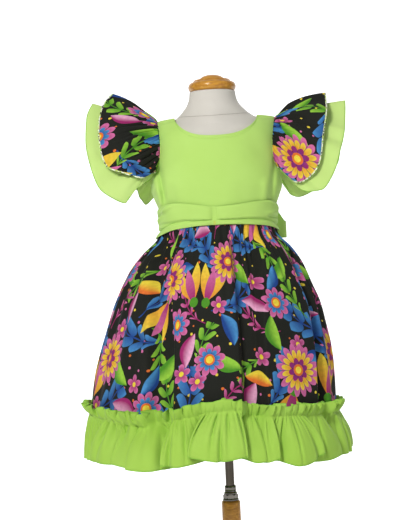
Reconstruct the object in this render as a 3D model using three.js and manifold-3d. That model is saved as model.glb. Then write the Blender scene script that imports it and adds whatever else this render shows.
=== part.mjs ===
// A child's ruffled party dress of lime poplin and floral print, on a limbless dress form.
// Millimetres, +Z up, the front faces -Y. The origin is on the floor, under the pole.

import * as THREE from 'three';
import { mergeVertices } from 'three/addons/utils/BufferGeometryUtils.js';
import Module from 'manifold-3d';

const wasm = await Module();
wasm.setup();

// Driving sizes

const CLOTH = 1.2;
const GAP = 0.3;
const SEAM_ANGLE = 0.09;

const WAIST_Z = 826;
const UNDERARM_Z = 906;
const SHOULDER_POINT_Z = 1018.5;
const NECK_POINT_Z = 1023.5;

// Rows of a wall lie closer together near its top: how strongly, for the bodice and for the skirt.
const BODICE_CROWDING = 1.5;
const SKIRT_CROWDING = 1.7;

const ARMHOLE_ANGLE = 24;
const ARMHOLE_ROUNDNESS = 0.8;
const SLEEVE_START = 0.14;
const SLEEVE_LIFT = { print: 0.09, lime: 0.03 };
const SEAM_STAND = 1.5;
const SLEEVE_FOOT_RISE = 16;
const LAYER_STEP = 5;

const FRONT_NECK_DROP = 39.5;
const BACK_NECK_DROP = 16;
const NECK_ROUNDNESS = { across: 2.6, down: 0.6 };
const ZIP_SHARE = 0.0025;

const SKIRT_LOW_Z = 500;
const SKIRT_ALLOWANCE = 6;
const FLOUNCE_STAND = 3;
const FLOUNCE_SPREAD = 0.9;
const FLOUNCE_ROWS_BELOW = 0.75;
const HEADING_HEIGHT = 20;
const HEADING_LEAN = 12;
const HEADING_WAVE = 2.2;
const HEADING_WAVES = 36;

const TACK_ANGLE = -3;
const TACK_WIDTH = 3;
const TACK_PULL = 1.4;
const TACK_FLATTENING = 0.7;
const SASH_SIDE = 96;
const SASH_END = 176;

const POLE_RADIUS = 8;
const POLE_FOOT_Z = 84;
const FLANGE_RADIUS = 35;
const FLANGE_THICK = 4;
const FORM_BOTTOM_Z = 570.3;
const FORM_TOP_Z = 1073;
const POST_TOP_Z = 334;
const BORE_RADIUS = 8.4;
const BASE_RADIUS = 155;
const BASE_HEIGHT = 22;
const ROUND_SIDES = 32;
const FORM_SIDES = 36;
const BASE_SIDES = 48;

// Colours

const LIME = { color: 0xb0dc68, roughness: 0.8, metalness: 0 };
const PRINT = { color: 0x1e201a, roughness: 0.85, metalness: 0 };
const JERSEY = { color: 0xd6d0c6, roughness: 0.95, metalness: 0 };
const WOOD = { color: 0xb88638, roughness: 0.3, metalness: 0 };
const CHROME = { color: 0xc8c8c8, roughness: 0.12, metalness: 1 };
const ZIP_METAL = { color: 0xa8cf62, roughness: 0.4, metalness: 0.3 };

// Tables. Each is read by a smooth curve through its rows that never overshoots them.

function table(columns, rows) {
  const key = columns[0];
  const slopes = columns.map((name, c) => monotoneSlopes(rows, c));
  return (value) => {
    let i = 0;
    while (i < rows.length - 2 && value > rows[i + 1][0]) i += 1;
    const span = rows[i + 1][0] - rows[i][0];
    const t = THREE.MathUtils.clamp((value - rows[i][0]) / span, 0, 1);
    const result = { [key]: value };
    for (let c = 1; c < columns.length; c += 1) {
      const [start, end] = [rows[i][c], rows[i + 1][c]];
      result[columns[c]] = hermite(start, end, slopes[c][i] * span, slopes[c][i + 1] * span, t);
    }
    return result;
  };
}

function monotoneSlopes(rows, c) {
  const steps = rows.slice(1).map((row, i) => (row[c] - rows[i][c]) / (row[0] - rows[i][0]));
  return rows.map((row, i) => {
    if (i === 0) return steps[0];
    if (i === rows.length - 1) return steps[i - 1];
    const before = steps[i - 1];
    const after = steps[i];
    return before * after <= 0 ? 0 : (2 * before * after) / (before + after);
  });
}

function hermite(a, b, slopeA, slopeB, t) {
  const t2 = t * t;
  const t3 = t2 * t;
  const fromValues = a * (2 * t3 - 3 * t2 + 1) + b * (3 * t2 - 2 * t3);
  return fromValues + slopeA * (t3 - 2 * t2 + t) + slopeB * (t3 - t2);
}

// Level sections of the body, as distances from the axis, with the exponent of the outline's roundness.

const SECTION = ['z', 'left', 'right', 'front', 'back', 'round'];

const formSection = table(SECTION, [
  [FORM_BOTTOM_Z, 82, 82, 64, 64, 2.2],
  [578, 91, 91, 72, 72, 2.2],
  [600, 98, 98, 79, 80, 2.2],
  [660, 102, 102, 83, 86, 2.2],
  [720, 98, 98, 80, 83, 2.2],
  [780, 91, 91, 75, 76, 2.2],
  [835, 88, 88, 73, 72, 2.2],
  [870, 94, 94, 77, 74, 2.2],
  [900, 100, 100, 80, 77, 2.2],
  [935, 101, 101, 79.5, 77, 2.2],
  [965, 100, 101.5, 75, 73, 2.2],
  [985, 99, 103, 69, 67, 2.2],
  [1000, 96.5, 102, 61, 59.5, 1.95],
  [1008, 92.5, 99, 56, 55, 1.65],
  [1013, 90.5, 97.5, 54.4, 53.6, 1.43],
  [1017, 82.2, 89.8, 52.4, 52, 1.38],
  [1021, 70.2, 77.2, 50.7, 50.5, 1.42],
  [1028, 61.5, 65.5, 48.5, 48, 1.55],
  [1035.5, 54.5, 57, 46.5, 46, 1.75],
  [1047, 46.5, 47, 43.5, 43.5, 1.9],
  [1060, 42.5, 42.5, 41.8, 41.8, 2],
  [FORM_TOP_Z, 41, 41, 41, 41, 2],
]);

const bodiceSection = table(SECTION, [
  [WAIST_Z, 100, 100, 80, 80, 2.2],
  [835, 100, 100, 80, 79, 2.2],
  [860, 105, 105, 82.5, 80.5, 2.2],
  [880, 112.5, 112.5, 84.5, 82.5, 2.2],
  [897, 117.5, 117.5, 86, 84, 2.2],
  [915, 115.5, 116, 85.5, 83.5, 2.2],
  [935, 109, 112, 84, 82, 2.2],
  [960, 105, 109.5, 79.5, 78, 2.2],
  [985, 103.5, 110, 73, 71.5, 2.2],
  [1000, 103, 110.5, 67, 65.5, 2.0],
  [1010, 102.5, 110.5, 61.5, 60.5, 1.75],
  [1015, 102, 110, 58.5, 58, 1.55],
  [SHOULDER_POINT_Z, 99.5, 109, 55.5, 55, 1.42],
  [NECK_POINT_Z, 70, 78, 53.5, 53, 1.42],
]);

const sashSection = table(SECTION, [
  [800, 116, 114, 98, 100, 2.2],
  [810, 111.5, 110, 93, 95, 2.2],
  [WAIST_Z, 103, 103, 84, 84, 2.2],
  [840, 103.5, 103.5, 84, 83, 2.2],
  [860, 107.3, 107.3, 85.5, 83.5, 2.2],
  [870, 110.8, 110.8, 86.5, 84.5, 2.2],
]);

const skirtSection = table(SECTION, [
  [480, 245, 197, 195, 206, 2],
  [520, 239, 195, 190, 201, 2],
  [570, 229, 193, 182, 193, 2],
  [610, 217, 189, 175, 185, 2],
  [645, 205, 182, 168, 177, 2],
  [685, 191, 173, 159, 166, 2],
  [715, 178, 161, 148, 153, 2],
  [755, 156, 145, 128, 133, 2],
  [785, 131, 126, 107, 110, 2.1],
  [806, 109.5, 107, 91, 92, 2.2],
  [WAIST_Z, 101, 101, 81.5, 81.5, 2.2],
]);

const hemSection = table(SECTION, [
  [400, 257, 219, 216, 224, 2],
  [440, 255, 217, 214, 222, 2],
]);

// The recessed stretches between the skirt's full folds: where each edge lies, in degrees from
// the front centre towards +X, at the waist and at the lower edge, and how deep it gets.

const SKIRT_RECESSES = [
  { leftTop: -75, leftLow: -36, rightTop: -46, rightLow: -21.5, deep: 17 },
  { leftTop: 6.8, leftLow: 6.7, rightTop: 41, rightLow: 21, deep: 18 },
  { leftTop: 75, leftLow: 52, rightTop: 84, rightLow: 66, deep: 12 },
  { leftTop: 104, leftLow: 106, rightTop: 122, rightLow: 124, deep: 15 },
  { leftTop: 152, leftLow: 150, rightTop: 168, rightLow: 163, deep: 13 },
  { leftTop: 196, leftLow: 199, rightTop: 214, rightLow: 215, deep: 16 },
  { leftTop: 244, leftLow: 241, rightTop: 256, rightLow: 255, deep: 11 },
];
const RECESS_EDGE = 7;
const RECESS_TOP = 0.75;
const RECESS_TURN = 3;

// The tucks along the flounce's hem, between one roll and the next: where each starts at the
// gathering line and where its edge hangs at the hem, in degrees, how far it laps, which way the
// edge faces (-1 left, 1 right), how far the edge stands out and rises, and how far the roll
// after it stands out.

const FLOUNCE_TUCKS = [
  { gather: -60.5, hem: -65, lap: 6, faces: -1, edge: 12, rise: 1, belly: 14 },
  { gather: -47, hem: -51.5, lap: 5, faces: -1, edge: 9, rise: 0, belly: 9 },
  { gather: -40.5, hem: -41, lap: 4.5, faces: -1, edge: 14, rise: 0, belly: 20 },
  { gather: -26, hem: -26.5, lap: 5.5, faces: -1, edge: 10, rise: 3, belly: 13 },
  { gather: -11, hem: -15, lap: 5.5, faces: -1, edge: 15, rise: 9, belly: 27 },
  { gather: 7, hem: 7.6, lap: 7, faces: 1, edge: 13, rise: 2, belly: 4 },
  { gather: 16, hem: 16.3, lap: 5, faces: 1, edge: 9, rise: 2, belly: 6 },
  { gather: 22.5, hem: 22.3, lap: 3, faces: 1, edge: 7, rise: 3, belly: 20 },
  { gather: 42, hem: 43, lap: 6, faces: 1, edge: 14, rise: 6, belly: 9 },
  { gather: 57, hem: 61, lap: 6, faces: 1, edge: 12, rise: 3, belly: 12 },
  { gather: 99, hem: 102, lap: 5, faces: 1, edge: 12, rise: 2, belly: 14 },
  { gather: 115, hem: 113, lap: 5, faces: -1, edge: 12, rise: 2, belly: 16 },
  { gather: 131, hem: 129, lap: 5.5, faces: -1, edge: 10, rise: 1, belly: 14 },
  { gather: 146, hem: 148, lap: 5, faces: 1, edge: 13, rise: 4, belly: 12 },
  { gather: 161, hem: 163, lap: 5.5, faces: 1, edge: 12, rise: 2, belly: 18 },
  { gather: 178, hem: 175, lap: 6, faces: -1, edge: 13, rise: 5, belly: 18 },
  { gather: 194, hem: 192, lap: 5, faces: -1, edge: 10, rise: 2, belly: 13 },
  { gather: 208, hem: 210, lap: 5, faces: 1, edge: 13, rise: 3, belly: 16 },
  { gather: 223, hem: 226, lap: 6, faces: 1, edge: 11, rise: 2, belly: 12 },
  { gather: 240, hem: 237, lap: 5, faces: -1, edge: 12, rise: 3, belly: 15 },
  { gather: 254, hem: 251, lap: 5, faces: -1, edge: 9, rise: 1, belly: 11 },
];
const SIDE_SEAMS = [{ angle: -90, belly: 13 }, { angle: 90, belly: 12 }, { angle: 270, belly: 0 }];
const SIDE_SEAM_STAND = 8;
const TUCK_HALF = 1.3;
const UNDER_STAND = -13;
const HEM_INSET = 6;

// Heights of the flounce's gathering line and hem round the skirt.

const flounceHeight = table(['angle', 'gather', 'hem'], [
  [-90, 505, 428],
  [-60, 500, 427],
  [-32, 495, 419],
  [-22, 500, 423],
  [-16, 504, 428],
  [-6, 512, 434],
  [5, 513, 435],
  [13, 501, 426],
  [22, 500, 427],
  [30, 499, 417],
  [42, 496, 417],
  [58, 493, 418],
  [74, 490, 421],
  [90, 489, 426],
  [120, 492, 422],
  [150, 500, 427],
  [180, 498, 423],
  [210, 504, 429],
  [240, 499, 423],
  [270, 505, 428],
]);

// Edges of the sash round the waist, and how far its tiers stand out across its width.

const sashEdges = table(['angle', 'low', 'high'], [
  [-180, 824, 848],
  [-140, 814, 853],
  [-90, 809, 858],
  [-40, 823, 868],
  [0, 827, 859],
  [50, 823, 867],
  [90, 815, 858],
  [140, 815, 853],
  [180, 824, 848],
]);

const sashProfile = table(['across', 'stand'], [
  [0, 1.0],
  [0.16, 1.5],
  [0.27, 0.2],
  [0.38, 2.8],
  [0.6, 2.4],
  [1, 0.6],
]);

// Sleeve rims: along the armhole from its front end over the shoulder to its back end, the
// free edge of the printed layer and of the plain layer under it, as distances out from the
// axis, forward of it, and up.

const RIM = ['along', 'printOut', 'printFore', 'printUp', 'limeOut', 'limeFore', 'limeUp'];

const leftRim = table(RIM, [
  [0, 115, 48, 927, 118, 40, 913],
  [0.08, 134, 64, 917, 143, 58, 897],
  [0.16, 161, 74, 925, 163, 70, 873],
  [0.24, 189, 74, 937, 203, 73, 898],
  [0.32, 200, 66, 965, 220, 64, 940],
  [0.41, 204, 46, 1008, 228, 42, 990],
  [0.46, 197, 24, 1048, 226, 22, 1031],
  [0.5, 178, 0, 1076, 215, 0, 1060],
  [0.54, 196, -24, 1046, 225, -22, 1029],
  [0.6, 202, -46, 1004, 222, -43, 984],
  [0.68, 196, -66, 960, 203, -60, 946],
  [0.76, 182, -73, 938, 168, -62, 919],
  [0.82, 164, -74, 922, 146, -60, 902],
  [0.89, 142, -68, 911, 142, -58, 880],
  [0.95, 126, -63, 915, 139, -46, 880],
  [1, 113, -54, 922, 122, -35, 907],
]);

const rightRim = table(RIM, [
  [0, 119, 47, 926, 122, 38, 911],
  [0.07, 130, 58, 908, 139, 50, 893],
  [0.14, 145, 66, 895, 159, 62, 885],
  [0.21, 169, 74, 909, 183, 71, 883],
  [0.28, 183, 72, 934, 208, 68, 915],
  [0.36, 191, 62, 978, 222, 58, 956],
  [0.44, 201, 36, 1026, 232, 34, 990],
  [0.5, 203, 2, 1057, 238, 0, 1042],
  [0.56, 200, -34, 1024, 236, -34, 996],
  [0.66, 192, -62, 966, 226, -60, 938],
  [0.78, 172, -72, 922, 190, -69, 894],
  [0.9, 142, -66, 908, 148, -55, 876],
  [0.96, 128, -58, 917, 134, -46, 886],
  [1, 117, -51, 922, 122, -38, 906],
]);

// Surfaces

const radians = THREE.MathUtils.degToRad;

// A point of a level section. The angle runs from the front centre towards +X.
function sectionPoint(section, angle, z, out = 0) {
  const s = section(z);
  const across = Math.sin(radians(angle));
  const forward = Math.cos(radians(angle));
  const width = (across > 0 ? s.right : s.left) + out;
  const depth = (forward > 0 ? s.front : s.back) + out;
  const power = 2 / s.round;
  return new THREE.Vector3(
    Math.sign(across) * width * Math.abs(across) ** power,
    -Math.sign(forward) * depth * Math.abs(forward) ** power,
    z,
  );
}

// The point of a level section that lies at a given x, on the front (facing 1) or back (-1).
function sectionPointAt(section, x, z, facing, out = 0) {
  const s = section(z);
  const width = (x > 0 ? s.right : s.left) + out;
  const depth = (facing > 0 ? s.front : s.back) + out;
  const ratio = Math.min(Math.abs(x) / width, 1);
  return new THREE.Vector3(x, -facing * depth * (1 - ratio ** s.round) ** (1 / s.round), z);
}

function smoothstep(value, low, high) {
  return THREE.MathUtils.smoothstep(value, low, high);
}

// The armhole's edge on one side: 0 at the underarm, up the front to the shoulder at 0.5, down the back.
function armholePoint(side, along, out = 0) {
  const turn = 2 * Math.PI * along;
  const z = (UNDERARM_Z + SHOULDER_POINT_Z) / 2 - ((SHOULDER_POINT_Z - UNDERARM_Z) / 2) * Math.cos(turn);
  const inset = ARMHOLE_ANGLE * Math.sign(Math.sin(turn)) * Math.abs(Math.sin(turn)) ** ARMHOLE_ROUNDNESS;
  return sectionPoint(bodiceSection, side * (90 - inset), z, out);
}

// Walls

// A seam plane's two sides: a panel's points stay half a gap from the plane.
const beforeSeam = (point) => point.setY(Math.min(point.y, -GAP / 2));
const behindSeam = (point) => point.setY(Math.max(point.y, GAP / 2));
const anywhere = (point) => point;

// A cloth wall over surface(u, v), with u and v from 0 to 1, half its thickness on each side.
function wall(surface, columns, rows, keep = anywhere) {
  const grid = [];
  for (let i = 0; i <= columns; i += 1) {
    grid.push(Array.from({ length: rows + 1 }, (_, j) => surface(i / columns, j / rows)));
  }
  const outer = [];
  const inner = [];
  for (let i = 0; i <= columns; i += 1) {
    for (let j = 0; j <= rows; j += 1) {
      const alongU = grid[Math.min(i + 1, columns)][j].clone().sub(grid[Math.max(i - 1, 0)][j]);
      const alongV = grid[i][Math.min(j + 1, rows)].clone().sub(grid[i][Math.max(j - 1, 0)]);
      const shift = alongU.cross(alongV).setLength(CLOTH / 2);
      outer.push(keep(grid[i][j].clone().add(shift)));
      inner.push(keep(grid[i][j].clone().sub(shift)));
    }
  }
  const at = (i, j) => i * (rows + 1) + j;
  const count = outer.length;
  const faces = [];
  for (let i = 0; i < columns; i += 1) {
    for (let j = 0; j < rows; j += 1) {
      const [a, b, c, d] = [at(i, j), at(i + 1, j), at(i + 1, j + 1), at(i, j + 1)];
      const flat = grid[i][j].distanceTo(grid[i + 1][j + 1]) <= grid[i + 1][j].distanceTo(grid[i][j + 1]);
      const halves = flat ? [[a, b, c], [a, c, d]] : [[a, b, d], [b, c, d]];
      for (const [p, q, r] of halves) faces.push(p, q, r, count + p, count + r, count + q);
    }
  }
  const rim = [];
  for (let i = 0; i < columns; i += 1) rim.push(at(i, 0));
  for (let j = 0; j < rows; j += 1) rim.push(at(columns, j));
  for (let i = columns; i > 0; i -= 1) rim.push(at(i, rows));
  for (let j = rows; j > 0; j -= 1) rim.push(at(0, j));
  rim.forEach((a, k) => {
    const b = rim[(k + 1) % rim.length];
    faces.push(b, a, count + a, b, count + a, count + b);
  });
  return solidFrom([...outer, ...inner], faces);
}

// A closed solid of stacked rings, ring(v, k) for v from 0 to 1, with flat ends.
function loft(ring, levels, sides) {
  const points = [];
  for (let j = 0; j <= levels; j += 1) {
    for (let k = 0; k < sides; k += 1) points.push(ring(j / levels, k / sides));
  }
  const faces = [];
  for (let j = 0; j < levels; j += 1) {
    for (let k = 0; k < sides; k += 1) {
      const [a, b] = [j * sides + k, j * sides + (k + 1) % sides];
      faces.push(a, b, b + sides, a, b + sides, a + sides);
    }
  }
  for (const [level, flip] of [[0, true], [levels, false]]) {
    const centre = new THREE.Vector3();
    for (let k = 0; k < sides; k += 1) centre.addScaledVector(points[level * sides + k], 1 / sides);
    const middle = points.push(centre) - 1;
    for (let k = 0; k < sides; k += 1) {
      const [a, b] = [level * sides + k, level * sides + (k + 1) % sides];
      faces.push(...(flip ? [middle, b, a] : [middle, a, b]));
    }
  }
  return solidFrom(points, faces);
}

function solidFrom(points, faces) {
  const geometry = new THREE.BufferGeometry();
  const coordinates = points.flatMap((point) => point.toArray());
  geometry.setAttribute('position', new THREE.Float32BufferAttribute(coordinates, 3));
  geometry.setIndex(faces);
  geometry.computeVertexNormals();
  return geometry;
}

// A turned solid from a profile of [radius, height] pairs.
function turned(profile, sides = ROUND_SIDES) {
  const geometry = new THREE.LatheGeometry(profile.map(([r, z]) => new THREE.Vector2(r, z)), sides);
  geometry.rotateX(Math.PI / 2);
  return geometry;
}

// Parts

const dress = new THREE.Group();

function add(name, geometry, finish) {
  const mesh = new THREE.Mesh(geometry, new THREE.MeshStandardMaterial(finish));
  mesh.name = name;
  dress.add(mesh);
  return mesh;
}

// Bodice

// The edge along the top of the front (facing 1) or back (-1) panel, by its share of the way from
// the left underarm up the armhole, along the shoulder seam, round the neck and down again.
const ARMHOLE_SHARE = 0.3;
const STRAP_SHARE = 0.08;

function neckEdge(position, facing) {
  const neck = bodiceSection(NECK_POINT_Z);
  const x = position * (position > 0 ? neck.right : neck.left);
  const drop = facing > 0 ? FRONT_NECK_DROP : BACK_NECK_DROP;
  const z = NECK_POINT_Z - drop * (1 - Math.abs(position) ** NECK_ROUNDNESS.across) ** NECK_ROUNDNESS.down;
  return { x, z };
}

function bodiceTop(share, facing) {
  const side = share < 0.5 ? -1 : 1;
  const fromSide = Math.min(share, 1 - share);
  if (fromSide <= ARMHOLE_SHARE) {
    const up = fromSide / ARMHOLE_SHARE;
    const point = armholePoint(side, facing > 0 ? up / 2 : 1 - up / 2);
    return { x: point.x, z: point.z, plain: up };
  }
  if (fromSide <= ARMHOLE_SHARE + STRAP_SHARE) {
    const along = (fromSide - ARMHOLE_SHARE) / STRAP_SHARE;
    const z = THREE.MathUtils.lerp(SHOULDER_POINT_Z, NECK_POINT_Z, along);
    const s = bodiceSection(z);
    return { x: side * (side > 0 ? s.right : s.left), z, plain: 1 };
  }
  const neckShare = 0.5 - ARMHOLE_SHARE - STRAP_SHARE;
  return { ...neckEdge((share - 0.5) / neckShare, facing), plain: 1 };
}

function bodicePoint(share, up, facing) {
  const top = bodiceTop(share, facing);
  const lowZ = WAIST_Z + GAP;
  const low = sectionPoint(bodiceSection, 180 * (share - 0.5), lowZ);
  const rise = 1 - (1 - up) ** BODICE_CROWDING;
  const z = THREE.MathUtils.lerp(lowZ, top.z, rise);
  const widthAt = (x, height) => (x > 0 ? bodiceSection(height).right : bodiceSection(height).left);
  const byRatio = THREE.MathUtils.lerp(low.x / widthAt(low.x, lowZ), top.x / widthAt(top.x, top.z), rise);
  const byLine = THREE.MathUtils.lerp(low.x, top.x, rise);
  const mix = smoothstep(top.plain, 0.1, 0.8);
  const x = THREE.MathUtils.lerp(byRatio * widthAt(top.x, z), byLine, mix);
  const point = sectionPointAt(bodiceSection, x, z, facing);
  point.y -= facing * GAP / 2;
  return point;
}

function addBodice() {
  add('bodice_front', wall((u, v) => bodicePoint(u, v, 1), 28, 6, beforeSeam), LIME);
  const leftHalf = (u, v) => bodicePoint(THREE.MathUtils.lerp(0.5 - ZIP_SHARE, 0, u), v, -1);
  const rightHalf = (u, v) => bodicePoint(THREE.MathUtils.lerp(1, 0.5 + ZIP_SHARE, u), v, -1);
  add('bodice_back_left', wall(leftHalf, 14, 6, (p) => behindSeam(p).setX(Math.min(p.x, -GAP / 2))), LIME);
  add('bodice_back_right', wall(rightHalf, 14, 6, (p) => behindSeam(p).setX(Math.max(p.x, GAP / 2))), LIME);
}

// Sleeves

// A sleeve layer from its seam (v 0) to its free edge (v 1), along the armhole (u).
function sleevePoint(side, layer, u, v) {
  const along = THREE.MathUtils.lerp(SLEEVE_START, 1 - SLEEVE_START, u);
  const edge = armholePoint(side, along);
  const raised = armholePoint(side, along, SEAM_STAND);
  const frontFoot = armholePoint(side, SLEEVE_START);
  const foot = frontFoot.add(armholePoint(side, 1 - SLEEVE_START)).multiplyScalar(0.5);
  foot.z += SLEEVE_FOOT_RISE;
  const inward = foot.sub(edge).setLength(layer === 'lime' ? LAYER_STEP : 0);
  const seam = raised.add(inward);
  const rim = (side > 0 ? rightRim : leftRim)(u);
  const free = new THREE.Vector3(side * rim[`${layer}Out`], -rim[`${layer}Fore`], rim[`${layer}Up`]);
  const next = armholePoint(side, along + 0.01).sub(armholePoint(side, along - 0.01));
  const across = free.clone().sub(seam);
  const lift = across.clone().cross(next).setLength(across.length() * SLEEVE_LIFT[layer] * side);
  const middle = seam.clone().add(free).multiplyScalar(0.5).addScaledVector(lift, 2);
  return new THREE.QuadraticBezierCurve3(seam, middle, free).getPoint(v);
}

function addSleeves() {
  for (const [name, side] of [['left', -1], ['right', 1]]) {
    for (const [layer, finish] of [['print', PRINT], ['lime', LIME]]) {
      add(`sleeve_${name}_${layer}`, wall((u, v) => sleevePoint(side, layer, u, v), 22, 3), finish);
    }
  }
}

// Skirt

const HALVES = [['front', -90, beforeSeam], ['back', 90, behindSeam]];

function recessDepth(angle, up) {
  const turned = Math.max(up, 0) ** RECESS_TURN;
  let depth = 0;
  for (const fold of SKIRT_RECESSES) {
    const left = THREE.MathUtils.lerp(fold.leftLow, fold.leftTop, turned);
    const right = THREE.MathUtils.lerp(fold.rightLow, fold.rightTop, turned);
    const pastLeft = smoothstep(angle, left, left + RECESS_EDGE);
    const pastRight = smoothstep(angle, right - RECESS_EDGE, right);
    depth += fold.deep * pastLeft * (1 - pastRight);
  }
  return depth * smoothstep(up, 1, RECESS_TOP);
}

function skirtPoint(angle, z, out = 0) {
  const up = (z - SKIRT_LOW_Z) / (WAIST_Z - SKIRT_LOW_Z);
  return sectionPoint(skirtSection, angle, z, out - recessDepth(angle, up));
}

function addSkirt() {
  for (const [name, start, keep] of HALVES) {
    const surface = (u, v) => {
      const angle = start + SEAM_ANGLE + u * (180 - 2 * SEAM_ANGLE);
      const low = flounceHeight(angle).gather - SKIRT_ALLOWANCE;
      return skirtPoint(angle, THREE.MathUtils.lerp(low, WAIST_Z, 1 - (1 - v) ** SKIRT_CROWDING));
    };
    add(`skirt_${name}`, wall(surface, 38, 6, keep), PRINT);
  }
}

// Flounce

// Rows of the hem's path: an angle at the gathering line, its angle at the hem, stand and rise.
function hemRows() {
  const stops = SIDE_SEAMS.map(({ angle, belly }) => {
    const rows = [[angle, angle, SIDE_SEAM_STAND, 0]];
    return { rows, belly };
  });
  for (const tuck of FLOUNCE_TUCKS) {
    const edge = [tuck.gather - tuck.faces * TUCK_HALF, tuck.hem, tuck.edge, tuck.rise];
    const under = [tuck.gather + tuck.faces * TUCK_HALF, tuck.hem - tuck.faces * tuck.lap, UNDER_STAND, 0];
    stops.push({ rows: tuck.faces > 0 ? [edge, under] : [under, edge], belly: tuck.belly });
  }
  stops.sort((a, b) => a.rows[0][0] - b.rows[0][0]);
  return stops.flatMap((stop, i) => {
    if (i === stops.length - 1) return stop.rows;
    const last = stop.rows.at(-1);
    const [first] = stops[i + 1].rows;
    return [...stop.rows, [(last[0] + first[0]) / 2, (last[1] + first[1]) / 2, stop.belly, 0]];
  });
}

const HEM_ROWS = hemRows();
const hemPath = table(['angle', 'hem', 'stand', 'rise'], HEM_ROWS);

// Angles of one half's columns: every row of the hem's path, and the middle between each two.
function flounceAngles(start) {
  const [from, to] = [start + SEAM_ANGLE, start + 180 - SEAM_ANGLE];
  const between = HEM_ROWS.map(([angle]) => angle).filter((angle) => angle > from && angle < to);
  const marks = [from, ...between, to];
  return marks.flatMap((angle, i) => (i === 0 ? [angle] : [(marks[i - 1] + angle) / 2, angle]));
}

// The flounce from its hem (v -1) up to the gathering line (v 0) and the heading's top (v 1).
function flouncePoint(angle, v) {
  const height = flounceHeight(angle);
  const gather = skirtPoint(angle, height.gather, FLOUNCE_STAND);
  if (v >= 0) {
    const wave = Math.sin(radians(angle) * HEADING_WAVES);
    const lean = v * (HEADING_LEAN + HEADING_WAVE * wave);
    return skirtPoint(angle, height.gather, FLOUNCE_STAND + lean).setZ(height.gather + v * HEADING_HEIGHT);
  }
  const path = hemPath(angle);
  const low = flounceHeight(path.hem).hem + path.rise;
  const hem = sectionPoint(hemSection, path.hem, low, path.stand - HEM_INSET);
  const fall = -v;
  const spread = Math.sin((fall * Math.PI) / 2) ** FLOUNCE_SPREAD;
  const x = THREE.MathUtils.lerp(gather.x, hem.x, spread);
  const y = THREE.MathUtils.lerp(gather.y, hem.y, spread);
  return new THREE.Vector3(x, y, THREE.MathUtils.lerp(height.gather, low, fall));
}

function addFlounce() {
  for (const [name, start, keep] of HALVES) {
    const angles = flounceAngles(start);
    const columns = angles.length - 1;
    const surface = (u, v) => {
      const above = v - FLOUNCE_ROWS_BELOW;
      const level = above < 0 ? above / FLOUNCE_ROWS_BELOW : above / (1 - FLOUNCE_ROWS_BELOW);
      return flouncePoint(angles[Math.round(u * columns)], level);
    };
    add(`flounce_${name}`, wall(surface, columns, 4, keep), LIME);
  }
}

// Sash and bow

function sashPoint(angle, across) {
  const edges = sashEdges(angle);
  const z = THREE.MathUtils.lerp(edges.low, edges.high, across);
  const tack = Math.exp(-(((angle - TACK_ANGLE) / TACK_WIDTH) ** 2));
  const stand = sashProfile(across).stand * (1 - TACK_FLATTENING * tack);
  return sectionPoint(sashSection, angle, z, stand - TACK_PULL * tack);
}

function addSash() {
  const stretches = [
    ['sash_front', -SASH_SIDE, SASH_SIDE, 32],
    ['sash_back_left', -SASH_END, -SASH_SIDE - 2 * SEAM_ANGLE, 8],
    ['sash_back_right', SASH_SIDE + 2 * SEAM_ANGLE, SASH_END, 8],
  ];
  for (const [name, from, to, columns] of stretches) {
    add(name, wall((u, v) => sashPoint(THREE.MathUtils.lerp(from, to, u), v), columns, 4), LIME);
  }
}

const KNOT = { x: 4, y: 95, z: 836, wide: 13, deep: 8.4, tall: 15 };
const BAND = { start: 0.9, stand: 4, apart: 3.2, opensBy: 0.55, halfAtKnot: 9 };
const LOOPS = [
  { name: 'bow_loop_left', side: -1, reach: 100, back: 12, low: 806, high: 852, belly: 14.25 },
  { name: 'bow_loop_right', side: 1, reach: 122, back: 10, low: 804, high: 853, belly: 16.15 },
];
const TAIL = { start: 0.6, narrow: 16, widensBy: 0.35, besideAxis: 1.5, offSkirt: 4.5, restsBy: 0.12 };
const TAILS = [
  { name: 'bow_tail_left', side: -1, length: 236, spread: 14, width: 56, slant: 26 },
  { name: 'bow_tail_right', side: 1, length: 218, spread: 19, width: 58, slant: 30 },
];

function knotGeometry() {
  const geometry = new THREE.SphereGeometry(1, 12, 8);
  geometry.scale(KNOT.wide, KNOT.deep, KNOT.tall);
  geometry.translate(KNOT.x, KNOT.y, KNOT.z);
  return geometry;
}

// A bow loop: a band that leaves the knot, rounds off at its reach and comes back.
function loopPoint(loop, u, v) {
  const turn = Math.PI * (2 * u - 1);
  const out = (1 + Math.cos(turn)) / 2;
  const belly = loop.belly * Math.sin(turn) * Math.sqrt(out);
  const apart = BAND.apart * Math.sin(turn / 2) * (1 - out);
  const x = KNOT.x + loop.side * (KNOT.wide + BAND.start + (loop.reach - KNOT.wide) * out);
  const y = KNOT.y + BAND.stand + belly - loop.back * out * out + apart;
  const open = smoothstep(out, 0, BAND.opensBy);
  const low = THREE.MathUtils.lerp(KNOT.z - BAND.halfAtKnot, loop.low, open);
  const high = THREE.MathUtils.lerp(KNOT.z + BAND.halfAtKnot, loop.high, open);
  return new THREE.Vector3(x, y, THREE.MathUtils.lerp(low, high, v));
}

// A tail: it leaves the knot narrow, and lies down the back of the skirt.
function tailPoint(tail, u, v) {
  const fall = 1 - v;
  const width = THREE.MathUtils.lerp(TAIL.narrow, tail.width, smoothstep(fall, 0, TAIL.widensBy));
  const x = KNOT.x + tail.side * (TAIL.besideAxis + width / 2 + tail.spread * fall) + (0.5 - u) * width;
  const z = KNOT.z - KNOT.tall - TAIL.start - fall * (tail.length + tail.slant * (u - 0.5) * tail.side);
  const onSkirt = sectionPointAt(skirtSection, x, Math.min(z, WAIST_Z), -1, TAIL.offSkirt);
  const y = THREE.MathUtils.lerp(KNOT.y - 1, onSkirt.y, smoothstep(fall, 0, TAIL.restsBy));
  return new THREE.Vector3(x, y, z);
}

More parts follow.
